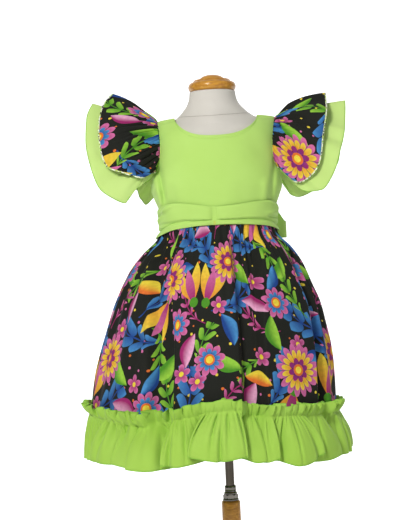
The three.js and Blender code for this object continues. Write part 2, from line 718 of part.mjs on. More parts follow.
function addBow() {
  add('bow_knot', knotGeometry(), LIME);
  for (const loop of LOOPS) {
    const surface = (u, v) => loopPoint(loop, loop.side > 0 ? u : 1 - u, v);
    add(loop.name, wall(surface, 16, 3), LIME);
  }
  for (const tail of TAILS) add(tail.name, wall((u, v) => tailPoint(tail, u, v), 4, 6), LIME);
}

// Zip: the slider at the top of the centre-back seam, and the tab that swings on it.

const ZIP = {
  z: 996, wide: 7, tall: 10, plate: 1.4, bow: 0.4, pin: 0.6, eye: 1.0, knuckle: 1.8,
  tabWide: 4, tabThick: 1, tabLong: 19,
};
const EAR = { inner: 2.35, outer: 3.4, tall: 3.4 };

function toSolid(geometry) {
  const plain = geometry.clone();
  plain.deleteAttribute('normal');
  plain.deleteAttribute('uv');
  const merged = mergeVertices(plain, 1e-5);
  const mesh = new wasm.Mesh({
    numProp: 3,
    vertProperties: new Float32Array(merged.attributes.position.array),
    triVerts: new Uint32Array(merged.index.array),
  });
  return new wasm.Manifold(mesh);
}

function fromSolid(solid) {
  const mesh = solid.getMesh();
  const geometry = new THREE.BufferGeometry();
  geometry.setAttribute('position', new THREE.BufferAttribute(mesh.vertProperties, 3));
  geometry.setIndex(new THREE.BufferAttribute(mesh.triVerts, 1));
  return geometry;
}

// The zip lies along the slope of the back, so its pieces are drawn upright about the pin and tilted.
function zipPlace() {
  const above = sectionPointAt(bodiceSection, 0, ZIP.z + ZIP.tall / 2, -1);
  const below = sectionPointAt(bodiceSection, 0, ZIP.z - ZIP.tabLong, -1);
  const slope = below.clone().sub(above);
  const tilt = Math.atan2(slope.y, -slope.z);
  const outward = new THREE.Vector3(0, Math.cos(tilt), Math.sin(tilt));
  const stand = CLOTH / 2 + 2 * GAP + ZIP.plate + ZIP.knuckle + ZIP.bow;
  const middle = sectionPointAt(bodiceSection, 0, ZIP.z, -1).addScaledVector(outward, stand);
  return { middle, tilt };
}

function placeOnZip(mesh) {
  const { middle, tilt } = zipPlace();
  mesh.position.copy(middle);
  mesh.rotation.x = tilt;
}

function addZip() {
  const plateY = -ZIP.knuckle - GAP - ZIP.plate / 2;
  const earReach = 2 * ZIP.pin - plateY;
  let slider = toSolid(new THREE.BoxGeometry(ZIP.wide, ZIP.plate, ZIP.tall).translate(0, plateY, 0));
  for (const side of [-1, 1]) {
    const ear = new THREE.BoxGeometry(EAR.outer - EAR.inner, earReach, EAR.tall);
    ear.translate((side * (EAR.inner + EAR.outer)) / 2, plateY + earReach / 2, 0);
    slider = slider.add(toSolid(ear));
  }
  const pin = new THREE.CylinderGeometry(ZIP.pin, ZIP.pin, EAR.inner + EAR.outer, 16).rotateZ(Math.PI / 2);
  placeOnZip(add('zip_slider', fromSolid(slider.add(toSolid(pin))), ZIP_METAL));

  const jaw = Math.asin(ZIP.tabThick / 2 / ZIP.knuckle);
  const outline = new THREE.Shape();
  outline.absarc(0, 0, ZIP.knuckle, -Math.PI / 2 + jaw, (3 * Math.PI) / 2 - jaw, false);
  outline.lineTo(-ZIP.tabThick / 2, -ZIP.tabLong);
  outline.lineTo(ZIP.tabThick / 2, -ZIP.tabLong);
  outline.closePath();
  outline.holes.push(new THREE.Path().absarc(0, 0, ZIP.eye, 0, 2 * Math.PI, true));
  const cut = { depth: ZIP.tabWide, bevelEnabled: false, curveSegments: 10 };
  const tab = new THREE.ExtrudeGeometry(outline, cut);
  tab.translate(0, 0, -ZIP.tabWide / 2);
  tab.rotateY(Math.PI / 2);
  tab.rotateX(Math.PI / 2);
  placeOnZip(add('zip_tab', tab, ZIP_METAL));
}

// Dress form and stand

const FORM_LEVELS = [0, 0.012, 0.03, 0.06, 0.12, 0.18, 0.24, 0.3, 0.36, 0.42, 0.48, 0.53, 0.58, 0.63, 0.68,
  0.73, 0.78, 0.82, 0.845, 0.865, 0.88, 0.89, 0.9, 0.912, 0.925, 0.94, 0.96, 0.98, 1];

function addForm() {
  const levels = FORM_LEVELS.length - 1;
  const ring = (v, k) => {
    const z = THREE.MathUtils.lerp(FORM_BOTTOM_Z, FORM_TOP_Z, FORM_LEVELS[Math.round(v * levels)]);
    return sectionPoint(formSection, 360 * k, z);
  };
  add('form_torso', loft(ring, levels, FORM_SIDES), JERSEY);
}

// A run of points round a quarter or half bead of a turned profile.
function bead(centreR, centreZ, radiusR, radiusZ, from, to, steps) {
  return Array.from({ length: steps + 1 }, (_, i) => {
    const turn = radians(THREE.MathUtils.lerp(from, to, i / steps));
    return [centreR + radiusR * Math.cos(turn), centreZ + radiusZ * Math.sin(turn)];
  });
}

function addNeckCap() {
  const low = FORM_TOP_Z + GAP;
  add('neck_cap', turned([
    [0, low],
    ...bead(35.5, low + 7.5, 7.2, 7.5, -90, 90, 8),
    [33.4, low + 15],
    [32.6, low + 17.2],
    [23.5, low + 18.4],
    ...bead(0, low + 17.6, 22.5, 9.4, 8, 82, 7),
    [0, low + 27],
  ]), WOOD);
}

function addPole() {
  const top = FORM_BOTTOM_Z - GAP;
  add('pole', turned([
    [0, POLE_FOOT_Z],
    [POLE_RADIUS - 1, POLE_FOOT_Z],
    [POLE_RADIUS, POLE_FOOT_Z + 1],
    [POLE_RADIUS, top - FLANGE_THICK - 14],
    [POLE_RADIUS + 3.5, top - FLANGE_THICK - 14],
    [POLE_RADIUS + 3.5, top - FLANGE_THICK],
    [FLANGE_RADIUS, top - FLANGE_THICK],
    [FLANGE_RADIUS, top],
    [0, top],
  ]), CHROME);
}

const WASHER = { low: POST_TOP_Z + GAP, high: 338, radius: 14.5 };
const NUT = { low: WASHER.high + GAP, high: 345, acrossFlats: 24 };
const COLLAR = { low: NUT.high + GAP, high: 361, radius: 10.5, footRadius: 12 };

function addClamp() {
  add('washer', turned([
    [BORE_RADIUS, WASHER.low],
    [WASHER.radius, WASHER.low],
    [WASHER.radius, WASHER.high - 0.8],
    [WASHER.radius - 0.8, WASHER.high],
    [BORE_RADIUS, WASHER.high],
    [BORE_RADIUS, WASHER.low],
  ]), CHROME);

  const hexagon = new THREE.Shape();
  const corner = NUT.acrossFlats / Math.sqrt(3);
  for (let k = 0; k < 6; k += 1) {
    const turn = (k * Math.PI) / 3;
    const [x, y] = [corner * Math.cos(turn), corner * Math.sin(turn)];
    if (k === 0) hexagon.moveTo(x, y);
    else hexagon.lineTo(x, y);
  }
  hexagon.closePath();
  hexagon.holes.push(new THREE.Path().absarc(0, 0, BORE_RADIUS, 0, 2 * Math.PI, true));
  const bar = { depth: NUT.high - NUT.low, bevelEnabled: false, curveSegments: 24 };
  const nut = new THREE.ExtrudeGeometry(hexagon, bar);
  add('clamp_nut', nut.translate(0, 0, NUT.low), CHROME);

  add('clamp_collar', turned([
    [BORE_RADIUS, COLLAR.low],
    [COLLAR.footRadius, COLLAR.low],
    [COLLAR.footRadius, COLLAR.low + 3],
    [COLLAR.radius, COLLAR.low + 5],
    [COLLAR.radius, COLLAR.high - 1],
    [COLLAR.radius - 1, COLLAR.high],
    [BORE_RADIUS, COLLAR.high],
    [BORE_RADIUS, COLLAR.low],
  ]), CHROME);
}

function addStand() {
  const seat = BASE_HEIGHT + GAP;
  add('post', turned([
    [0, seat],
    [36, seat],
    ...bead(36, seat + 6, 6, 6, -90, 90, 6),
    ...bead(36, seat + 26, 15, 14, -90, -180, 5),
    [19.5, seat + 90],
    [18, seat + 180],
    [17, POST_TOP_Z - 30],
    [17, POST_TOP_Z - 2],
    [15, POST_TOP_Z],
    [BORE_RADIUS, POST_TOP_Z],
    [BORE_RADIUS, seat + 8],
    [0, seat + 8],
  ]), WOOD);
  add('base_disc', turned([
    [0, 0],
    [BASE_RADIUS - 4, 0],
    ...bead(BASE_RADIUS - 4, 4, 4, 4, -90, 0, 3),
    ...bead(BASE_RADIUS - 12, BASE_HEIGHT - 8, 12, 8, 0, 90, 6),
    [0, BASE_HEIGHT],
  ], BASE_SIDES), WOOD);
}

addBodice();
addSleeves();
addSkirt();
addFlounce();
addSash();
addBow();
addZip();
addForm();
addNeckCap();
addPole();
addClamp();
addStand();

export default dress;
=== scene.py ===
# A child's ruffled party dress of lime poplin and floral print, on a limbless dress form.
# Sizes are in millimetres until a mesh is made. +Z is up and the front faces -Y.

import math

import bpy
import numpy as np
from mathutils import Matrix, Vector


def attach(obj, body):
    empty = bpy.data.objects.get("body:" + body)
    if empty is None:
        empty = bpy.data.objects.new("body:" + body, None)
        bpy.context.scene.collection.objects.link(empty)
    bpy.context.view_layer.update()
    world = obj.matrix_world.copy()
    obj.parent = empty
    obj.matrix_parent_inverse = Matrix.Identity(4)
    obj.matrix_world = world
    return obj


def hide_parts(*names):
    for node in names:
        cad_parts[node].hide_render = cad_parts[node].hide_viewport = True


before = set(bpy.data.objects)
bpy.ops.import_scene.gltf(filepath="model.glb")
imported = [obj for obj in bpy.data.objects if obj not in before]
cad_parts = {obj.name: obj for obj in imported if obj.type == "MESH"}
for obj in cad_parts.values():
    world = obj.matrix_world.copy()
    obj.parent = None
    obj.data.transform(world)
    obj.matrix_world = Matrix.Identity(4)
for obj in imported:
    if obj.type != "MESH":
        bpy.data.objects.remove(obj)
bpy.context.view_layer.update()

# Driving sizes

MM = 0.001
CLOTH = 0.7
GAP = 0.3
SEAM_ANGLE = 0.09
HALVES = {"front": (1, -90.0), "back": (-1, 90.0)}

WAIST_Z = 826.0
UNDERARM_Z = 906.0
SHOULDER_POINT_Z = 1018.5
NECK_POINT_Z = 1023.5
ARMHOLE_ANGLE = 24.0
FRONT_NECK_DROP = 39.5
BACK_NECK_DROP = 16.0
SLEEVE_START = 0.14
SLEEVE_LIFT = {"print": 0.09, "lime": 0.03}
SKIRT_LOW_Z = 500.0
SKIRT_ALLOWANCE = 2.5
FLOUNCE_STAND = 2.1
HEADING_HEIGHT = 20.0
HEADING_LEAN = 5.0
TACK_ANGLE = -3.0
SASH_SIDE = 96.0
SASH_END = 176.0
FORM_BOTTOM_Z = 570.3
FORM_TOP_Z = 1069.0
POST_TOP_Z = 334.0
BORE_RADIUS = 8.4
BASE_RADIUS = 155.0
BASE_HEIGHT = 22.0


# Numbers


def hermite(a, b, slope_a, slope_b, t):
    t2, t3 = t * t, t * t * t
    return (
        a * (2 * t3 - 3 * t2 + 1)
        + slope_a * (t3 - 2 * t2 + t)
        + b * (3 * t2 - 2 * t3)
        + slope_b * (t3 - t2)
    )


def table(columns, rows):
    """A function that reads every column at given values of the first by a curve that never overshoots."""
    data = np.array(rows, dtype=float)
    key = data[:, 0]
    steps = np.diff(data, axis=0) / np.diff(key)[:, None]
    slopes = np.empty_like(data)
    slopes[0], slopes[-1] = steps[0], steps[-1]
    product = steps[:-1] * steps[1:]
    total = steps[:-1] + steps[1:]
    safe = np.where(np.abs(total) < 1e-12, 1, total)
    slopes[1:-1] = np.where(product <= 0, 0, 2 * product / safe)

    def read(value):
        value = np.asarray(value, dtype=float)
        i = np.clip(np.searchsorted(key, value) - 1, 0, len(key) - 2)
        span = key[i + 1] - key[i]
        t = np.clip((value - key[i]) / span, 0, 1)
        return {
            name: hermite(data[i, c], data[i + 1, c], slopes[i, c] * span, slopes[i + 1, c] * span, t)
            for c, name in enumerate(columns)
        }

    return read


def smoothstep(value, low, high):
    t = np.clip((value - low) / (high - low), 0, 1)
    return t * t * (3 - 2 * t)


def lerp(a, b, t):
    return a + (b - a) * t


def ripples(angle, lowest, highest, seed):
    """Uneven ripples round the body, about 1 high: waves of every count between two, in seeded phases."""
    draw = np.random.default_rng(seed)
    counts = np.arange(lowest, highest + 1)
    phases = draw.uniform(0, 2 * math.pi, len(counts))
    weights = draw.uniform(0.5, 1, len(counts))
    turns = np.radians(np.asarray(angle))[..., None]
    return (np.sin(turns * counts + phases) * weights).sum(-1) / math.sqrt(len(counts) * 0.3)


def grooves(angle, lowest, highest, seed, width):
    """Narrow creases at uneven distances round the body: -1 at the bottom of each, 0 between them."""
    return -np.exp(-((ripples(angle, lowest, highest, seed) / width) ** 2))


def crease_depth(across, along, creases):
    """The sum of soft ridges and troughs. Each runs straight between two places, and fades at its ends."""
    total = 0.0
    for c in creases:
        (x0, y0), (x1, y1) = c["start"], c["end"]
        dx, dy = x1 - x0, y1 - y0
        length2 = dx * dx + dy * dy
        t = np.clip(((across - x0) * dx + (along - y0) * dy) / length2, -0.2, 1.2)
        away = np.hypot(across - x0 - t * dx, along - y0 - t * dy)
        fade = smoothstep(t, -0.2, 0.25) * smoothstep(1.2 - t, 0, 0.45)
        total = total + c["rise"] * fade * np.exp(-((away / c["wide"]) ** 2))
    return total


# Level sections: distances from the axis, and the exponent of the outline's roundness

SECTION = ["z", "left", "right", "front", "back", "round"]

form_section = table(SECTION, [
    [FORM_BOTTOM_Z, 82, 82, 64, 64, 2.2],
    [578, 91, 91, 72, 72, 2.2],
    [600, 98, 98, 79, 80, 2.2],
    [660, 102, 102, 83, 86, 2.2],
    [720, 98, 98, 80, 83, 2.2],
    [780, 91, 91, 75, 76, 2.2],
    [835, 88, 88, 73, 72, 2.2],
    [870, 94, 94, 77, 74, 2.2],
    [900, 100, 100, 80, 77, 2.2],
    [935, 101, 101, 79.5, 77, 2.2],
    [965, 100, 101.5, 75, 73, 2.2],
    [985, 99, 103, 69, 67, 2.2],
    [1000, 96.5, 102, 61, 59.5, 1.95],
    [1008, 92.5, 99, 56, 55, 1.65],
    [1013, 90.5, 97.5, 54.4, 53.6, 1.43],
    [1017, 82.2, 89.8, 52.4, 52, 1.38],
    [1021, 70.2, 77.2, 50.7, 50.5, 1.42],
    [1028, 61.5, 65.5, 48.5, 48, 1.55],
    [1035.5, 54.5, 57, 46.5, 46, 1.75],
    [1047, 46.5, 47, 43.5, 43.5, 1.9],
    [1058, 42.5, 42.5, 41.8, 41.8, 2],
    [FORM_TOP_Z, 41, 41, 41, 41, 2],
])

bodice_section = table(SECTION, [
    [WAIST_Z, 100, 100, 80, 80, 2.2],
    [835, 100, 100, 80, 79, 2.2],
    [860, 105, 105, 82.5, 80.5, 2.2],
    [880, 112.5, 112.5, 84.5, 82.5, 2.2],
    [897, 117.5, 117.5, 86, 84, 2.2],
    [915, 115.5, 116, 85.5, 83.5, 2.2],
    [935, 109, 112, 84, 82, 2.2],
    [960, 105, 109.5, 79.5, 78, 2.2],
    [985, 103.5, 110, 73, 71.5, 2.2],
    [1000, 103, 110.5, 67, 65.5, 2.0],
    [1010, 102.5, 110.5, 61.5, 60.5, 1.75],
    [1015, 102, 110, 58.5, 58, 1.55],
    [SHOULDER_POINT_Z, 99.5, 109, 55.5, 55, 1.42],
    [NECK_POINT_Z, 70, 78, 53.5, 53, 1.42],
])

sash_section = table(SECTION, [
    [800, 116, 114, 98, 100, 2.2],
    [810, 111.5, 110, 93, 95, 2.2],
    [WAIST_Z, 103, 103, 84, 84, 2.2],
    [840, 103.5, 103.5, 84, 83, 2.2],
    [860, 107.3, 107.3, 85.5, 83.5, 2.2],
    [870, 110.8, 110.8, 86.5, 84.5, 2.2],
])

skirt_section = table(SECTION, [
    [480, 245, 197, 195, 206, 2],
    [520, 239, 195, 190, 201, 2],
    [570, 229, 193, 182, 193, 2],
    [610, 217, 189, 175, 185, 2],
    [645, 205, 182, 168, 177, 2],
    [685, 191, 173, 159, 166, 2],
    [715, 178, 161, 148, 153, 2],
    [755, 156, 145, 128, 133, 2],
    [785, 131, 126, 107, 110, 2.1],
    [806, 109.5, 107, 91, 92, 2.2],
    [WAIST_Z, 101, 101, 81.5, 81.5, 2.2],
])

hem_section = table(SECTION, [
    [400, 257, 219, 216, 224, 2],
    [440, 255, 217, 214, 222, 2],
])

# The recessed stretches between the skirt's full folds, in degrees from the front centre
# towards +X, at the waist and at the lower edge, and how deep each gets.

SKIRT_RECESSES = [
    {"left": (-75, -36), "right": (-46, -21.5), "deep": 17},
    {"left": (6.8, 6.7), "right": (41, 21), "deep": 18},
    {"left": (75, 52), "right": (84, 66), "deep": 12},
    {"left": (104, 106), "right": (122, 124), "deep": 15},
    {"left": (152, 150), "right": (168, 163), "deep": 13},
    {"left": (196, 199), "right": (214, 215), "deep": 16},
    {"left": (244, 241), "right": (256, 255), "deep": 11},
]
RECESS_EDGE = 3.6
RECESS_TURN = 3

# The tucks along the flounce's hem, between one roll and the next: where each starts at the
# gathering line and where its edge hangs at the hem, in degrees, how far it laps, which way the
# edge faces (-1 left, 1 right), how far the edge stands out and rises, and how far the roll
# after it stands out.

FLOUNCE_TUCKS = [
    (-60.5, -65, 7, -1, 15, 2, 14),
    (-47, -51.5, 6, -1, 13, 1, 9),
    (-40.5, -41, 5.5, -1, 17, 1, 20),
    (-26, -26.5, 6, -1, 12, 8, 13),
    (-11, -15, 6.5, -1, 17, 15, 27),
    (7, 7.6, 7, 1, 14, 6, 4),
    (16, 16.3, 5, 1, 9, 2, 6),
    (22.5, 22.3, 3.5, 1, 9, 5, 20),
    (42, 45, 7, 1, 17, 15, 9),
    (57, 61, 6, 1, 14, 5, 12),
    (99, 102, 5, 1, 12, 2, 14),
    (115, 113, 5, -1, 12, 2, 16),
    (131, 129, 5.5, -1, 10, 1, 14),
    (146, 148, 5, 1, 13, 4, 12),
    (161, 163, 5.5, 1, 12, 2, 18),
    (178, 175, 6, -1, 13, 5, 18),
    (194, 192, 5, -1, 10, 2, 13),
    (208, 210, 5, 1, 13, 3, 16),
    (223, 226, 6, 1, 11, 2, 12),
    (240, 237, 5, -1, 12, 3, 15),
    (254, 251, 5, -1, 9, 1, 11),
]
BELLIES_AT_SEAMS = {-90: 13.0, 90: 12.0, 270: 0.0}
FLOUNCE_CREASES = {"fine": 4.6, "coarse": 88.0, "long": 8.0, "uneven": 1.8}
FLOUNCE_LINE = FLOUNCE_STAND + 3.2
HEM_INSET = 6
FLOUNCE_GRID = (740, 34)
HEADING_ROWS = 9
SIDE_SEAM_STAND = 8.0
TUCK_HALF = 1.3
UNDER_STAND = -17.0
LEFT_DEEPER = 0.7

flounce_height = table(["angle", "gather", "hem"], [
    [-90, 505, 428],
    [-60, 500, 427],
    [-32, 495, 419],
    [-22, 500, 423],
    [-16, 504, 428],
    [-6, 512, 434],
    [5, 513, 435],
    [13, 501, 426],
    [22, 500, 427],
    [30, 499, 417],
    [42, 496, 417],
    [58, 493, 418],
    [74, 490, 421],
    [90, 489, 426],
    [120, 492, 422],
    [150, 500, 427],
    [180, 498, 423],
    [210, 504, 429],
    [240, 499, 423],
    [270, 505, 428],
])

sash_edges = table(["angle", "low", "high"], [
    [-180, 824, 848],
    [-140, 814, 853],
    [-90, 809, 858],
    [-40, 823, 868],
    [0, 827, 859],
    [50, 823, 867],
    [90, 815, 858],
    [140, 815, 853],
    [180, 824, 848],
])

# Sleeve rims, from the armhole's front end over the shoulder to its back end: the free edge of
# the printed and of the plain layer, as distances out from the axis, forward of it, and up.

RIM = ["along", "printOut", "printFore", "printUp", "limeOut", "limeFore", "limeUp"]

RIMS = {
    "left": table(RIM, [
        [0, 115, 48, 927, 118, 40, 913],
        [0.08, 134, 64, 917, 143, 58, 897],
        [0.16, 161, 74, 925, 163, 70, 873],
        [0.24, 189, 74, 937, 203, 73, 898],
        [0.32, 200, 66, 965, 220, 64, 940],
        [0.41, 204, 46, 1008, 228, 42, 990],
        [0.46, 197, 24, 1048, 226, 22, 1031],
        [0.5, 178, 0, 1076, 215, 0, 1060],
        [0.54, 196, -24, 1046, 225, -22, 1029],
        [0.6, 202, -46, 1004, 222, -43, 984],
        [0.68, 196, -66, 960, 203, -60, 946],
        [0.76, 182, -73, 938, 168, -62, 919],
        [0.82, 164, -74, 922, 146, -60, 902],
        [0.89, 142, -68, 911, 140, -63, 886],
        [0.95, 126, -63, 915, 131, -59, 875],
        [1, 113, -54, 922, 117, -50, 886],
    ]),
    "right": table(RIM, [
        [0, 119, 47, 926, 122, 38, 911],
        [0.07, 130, 58, 908, 139, 50, 893],
        [0.14, 145, 66, 895, 160, 64, 878.5],
        [0.21, 169, 74, 909, 183, 71, 880],
        [0.28, 183, 72, 934, 208, 68, 915],
        [0.36, 191, 62, 978, 222, 58, 956],
        [0.44, 201, 36, 1026, 232, 34, 990],
        [0.5, 203, 2, 1057, 238, 0, 1042],
        [0.56, 200, -34, 1024, 236, -34, 996],
        [0.66, 192, -62, 966, 226, -60, 938],
        [0.78, 172, -72, 922, 190, -69, 894],
        [0.9, 142, -66, 908, 148, -55, 876],
        [0.96, 128, -58, 917, 134, -46, 886],
        [1, 117, -51, 922, 122, -38, 906],
    ]),
}


def section_point(section, angle, z, out=0.0):
    """A point of a level section. The angle runs from the front centre towards +X."""
    angle, z, out = np.broadcast_arrays(angle, z, out)
    s = section(z)
    across, forward = np.sin(np.radians(angle)), np.cos(np.radians(angle))
    width = np.where(across > 0, s["right"], s["left"]) + out
    depth = np.where(forward > 0, s["front"], s["back"]) + out
    power = 2 / s["round"]
    x = np.sign(across) * width * np.abs(across) ** power
    y = -np.sign(forward) * depth * np.abs(forward) ** power
    return np.stack([x, y, z], axis=-1)


def section_point_at(section, x, z, facing, out=0.0):
    """The point of a level section at a given x, on the front (facing 1) or the back (-1)."""
    x, z = np.broadcast_arrays(x, z)
    s = section(z)
    width = np.where(x > 0, s["right"], s["left"]) + out
    depth = (s["front"] if facing > 0 else s["back"]) + out
    ratio = np.minimum(np.abs(x) / width, 1)
    y = -facing * depth * (1 - ratio ** s["round"]) ** (1 / s["round"])
    return np.stack([x, y, z], axis=-1)


def armhole_point(side, along, out=0.0):
    """The armhole's edge: 0 at the underarm, up the front to the shoulder at 0.5, down the back."""
    turn = 2 * math.pi * np.asarray(along)
    z = (UNDERARM_Z + SHOULDER_POINT_Z) / 2 - (SHOULDER_POINT_Z - UNDERARM_Z) / 2 * np.cos(turn)
    inset = ARMHOLE_ANGLE * np.sign(np.sin(turn)) * np.abs(np.sin(turn)) ** 0.8
    return section_point(bodice_section, side * (90 - inset), z, out)


# Meshes


def grid(columns, rows):
    """Values of u and v from 0 to 1 on a grid, u down and v across."""
    return np.meshgrid(np.linspace(0, 1, columns + 1), np.linspace(0, 1, rows + 1), indexing="ij")


def surface_normals(points):
    along_u = np.gradient(points, axis=0)
    along_v = np.gradient(points, axis=1)
    normal = np.cross(along_u, along_v)
    return normal / np.maximum(np.linalg.norm(normal, axis=-1, keepdims=True), 1e-9)


def make_object(name, points, faces, material, uv=None):
    mesh = bpy.data.meshes.new(name)
    mesh.from_pydata((np.asarray(points) * MM).tolist(), [], faces)
    mesh.polygons.foreach_set("use_smooth", [True] * len(mesh.polygons))
    if uv is not None:
        layer = mesh.uv_layers.new(name="cloth")
        corners = np.empty(len(mesh.loops), dtype=int)
        mesh.loops.foreach_get("vertex_index", corners)
        layer.data.foreach_set("uv", (np.asarray(uv)[corners] * MM).ravel())
    mesh.materials.append(material)
    piece = bpy.data.objects.new(name, mesh)
    bpy.context.scene.collection.objects.link(piece)
    return piece


def grid_faces(columns, rows, closed=False):
    step = rows + 1
    count = columns + 1
    faces = []
    for i in range(columns + closed):
        a, b = i * step, ((i + 1) % count) * step
        faces += [(a + j, b + j, b + j + 1, a + j + 1) for j in range(rows)]
    return faces


def add_weld(piece, distance):
    weld = piece.modifiers.new("weld", "WELD")
    weld.merge_threshold = distance * MM


def half_turn(start, u):
    """Angles along the front or the back half, from one side seam to the other."""
    return start + SEAM_ANGLE + u * (180 - 2 * SEAM_ANGLE)


def keep_to_half(points, facing):
    """Holds a front (facing 1) or a back (-1) sheet clear of the other one at the side seams."""
    clear = GAP / 2 + CLOTH / 2
    y = points[..., 1]
    points[..., 1] = np.minimum(y, -clear) if facing > 0 else np.maximum(y, clear)


def cloth_piece(name, points, uv, material, thickness=CLOTH):
    """A sheet of cloth over a grid of points, with uv in millimetres of flat cloth."""
    columns, rows = points.shape[0] - 1, points.shape[1] - 1
    flat = points.reshape(-1, 3)
    piece = make_object(name, flat, grid_faces(columns, rows), material, uv.reshape(-1, 2))
    thick = piece.modifiers.new("thickness", "SOLIDIFY")
    thick.thickness = thickness * MM
    thick.offset = 0
    return piece


def cloth_uv(points, start=(0.0, 0.0), level=-1):
    """Flat places of a grid of points: lengths along the row at level, and lengths up each column."""
    along = np.linalg.norm(np.diff(points[:, level], axis=0), axis=-1)
    u = np.concatenate([[0], np.cumsum(along)]) + start[0]
    up = np.linalg.norm(np.diff(points, axis=1), axis=-1).mean(axis=0)
    v = np.concatenate([[0], np.cumsum(up)]) + start[1]
    return np.stack(np.meshgrid(u, v, indexing="ij"), axis=-1)


def resample(line, spacing):
    """Points along a line at even distances, and how far along it each is."""
    lengths = np.concatenate([[0], np.cumsum(np.linalg.norm(np.diff(line, axis=0), axis=1))])
    places = np.linspace(0, lengths[-1], max(int(lengths[-1] / spacing), 2) + 1)
    return np.stack([np.interp(places, lengths, line[:, c]) for c in range(3)], axis=1), places


def tube(line, radius, sides=6, spacing=1.6, closed=False):
    """Points, faces and uv of a thin tube along a line."""
    centres, places = resample(line, spacing)
    tangent = np.gradient(centres, axis=0)
    tangent /= np.maximum(np.linalg.norm(tangent, axis=1, keepdims=True), 1e-9)
    side = np.empty_like(tangent)
    last = np.cross(tangent[0], [0.31, 0.17, 0.93])
    for i, t in enumerate(tangent):
        last = last - t * np.dot(last, t)
        last /= max(np.linalg.norm(last), 1e-9)
        side[i] = last
    other = np.cross(tangent, side)
    turns = np.linspace(0, 2 * math.pi, sides, endpoint=False)
    rings = centres[:, None] + radius * (
        np.cos(turns)[None, :, None] * side[:, None] + np.sin(turns)[None, :, None] * other[:, None]
    )
    faces = []
    for i in range(len(centres) - 1):
        for k in range(sides):
            n = (k + 1) % sides
            faces.append((i * sides + k, i * sides + n, (i + 1) * sides + n, (i + 1) * sides + k))
    if not closed:
        faces.append(tuple(range(sides))[::-1])
        faces.append(tuple((len(centres) - 1) * sides + k for k in range(sides)))
    uv = np.stack([np.repeat(places, sides), np.tile(turns * radius, len(centres))], axis=1)
    return rings.reshape(-1, 3), faces, uv


def joined(name, parts, material):
    """One piece made of several meshes, each given as points, faces and uv."""
    points, faces, uv, count = [], [], [], 0
    for part_points, part_faces, part_uv in parts:
        points.append(part_points)
        uv.append(part_uv)
        faces += [tuple(count + k for k in face) for face in part_faces]
        count += len(part_points)
    return make_object(name, np.concatenate(points), faces, material, np.concatenate(uv))


def stitches(line, length=2.4, gap=0.8, radius=0.22, sides=5):
    """A row of stitches along a line, as meshes to be joined."""
    places, _ = resample(line, length + gap)
    made = []
    for a, b in zip(places[:-1], places[1:]):
        end = a + (b - a) * length / (length + gap)
        made.append(tube(np.array([a, (a + end) / 2, end]), radius, sides, spacing=length / 2))
    return made


TURNED_WELD = 0.01


def turned_piece(name, profile, material, sides=96):
    """A turned piece. Its profile of (radius, height) pairs starts and ends on the axis, or closes."""
    rings = np.array(profile, dtype=float)
    turns = np.linspace(0, 2 * math.pi, sides, endpoint=False)
    points = np.stack([
        rings[None, :, 0] * np.cos(turns)[:, None],
        rings[None, :, 0] * np.sin(turns)[:, None],
        np.broadcast_to(rings[None, :, 1], (sides, len(rings))),
    ], axis=-1)
    faces = grid_faces(sides - 1, len(rings) - 1, closed=True)
    along = np.concatenate([[0], np.cumsum(np.linalg.norm(np.diff(rings, axis=0), axis=1))])
    uv = np.stack(np.meshgrid(turns * rings[:, 0].max(), along, indexing="ij"), axis=-1)
    piece = make_object(name, points.reshape(-1, 3), faces, material, uv.reshape(-1, 2))
    add_weld(piece, TURNED_WELD)
    return piece


def bead(centre_r, centre_z, radius_r, radius_z, start, stop, steps=14):
    """A run of a turned profile round part of an ellipse."""
    turns = np.radians(np.linspace(start, stop, steps + 1))
    return [(centre_r + radius_r * math.cos(t), centre_z + radius_z * math.sin(t)) for t in turns]


# Node fields: numbers and colours that vary over a surface


class Field:
    """A number worked out at every point of a surface by Math nodes."""

    def __init__(self, tree, socket):
        self.tree = tree
        self.socket = socket

    def math(self, operation, *others):
        node = self.tree.nodes.new("ShaderNodeMath")
        node.operation = operation
        for slot, value in zip(node.inputs, (self, *others)):
            if isinstance(value, Field):
                self.tree.links.new(value.socket, slot)
            else:
                slot.default_value = value
        return Field(self.tree, node.outputs[0])

    def __add__(self, other):
        return self.math("ADD", other)

    def __sub__(self, other):
        return self.math("SUBTRACT", other)

    def __mul__(self, other):
        return self.math("MULTIPLY", other)

    def __truediv__(self, other):
        return self.math("DIVIDE", other)

    def times_plus(self, factor, extra):
        return self.math("MULTIPLY_ADD", factor, extra)

    def size(self):
        return self.math("ABSOLUTE")

    def below(self, other):
        return self.math("LESS_THAN", other)

    def above(self, other):
        return self.math("GREATER_THAN", other)


def new_node(tree, kind, **inputs):
    """A node with values or links on its named inputs."""
    node = tree.nodes.new(kind)
    for name, value in inputs.items():
        slot = node.inputs[name.replace("_", " ")]
        if isinstance(value, Field):
            tree.links.new(value.socket, slot)
        elif isinstance(value, bpy.types.NodeSocket):
            tree.links.new(value, slot)
        else:
            slot.default_value = value
    return node


def rgba(colour):
    return (*colour, 1.0)


def srgb(red, green, blue):
    """A colour given as the eye sees it, 0 to 255, as linear light."""
    def linear(value):
        share = value / 255
        return share / 12.92 if share <= 0.04045 else ((share + 0.055) / 1.055) ** 2.4
    return tuple(linear(value) for value in (red, green, blue))


def mixed(tree, factor, first, second):
    """The colour between two, each a colour socket or three numbers, by a Field from 0 to 1."""
    node = tree.nodes.new("ShaderNodeMix")
    node.data_type = "RGBA"
    tree.links.new(factor.socket, node.inputs[0])
    for slot, value in zip((node.inputs[6], node.inputs[7]), (first, second)):
        if isinstance(value, bpy.types.NodeSocket):
            tree.links.new(value, slot)
        else:
            slot.default_value = rgba(value)
    return node.outputs[2]


# The print: a generic folk floral of the builder's own, on a half-drop repeat

REPEAT = (300.0, 340.0)

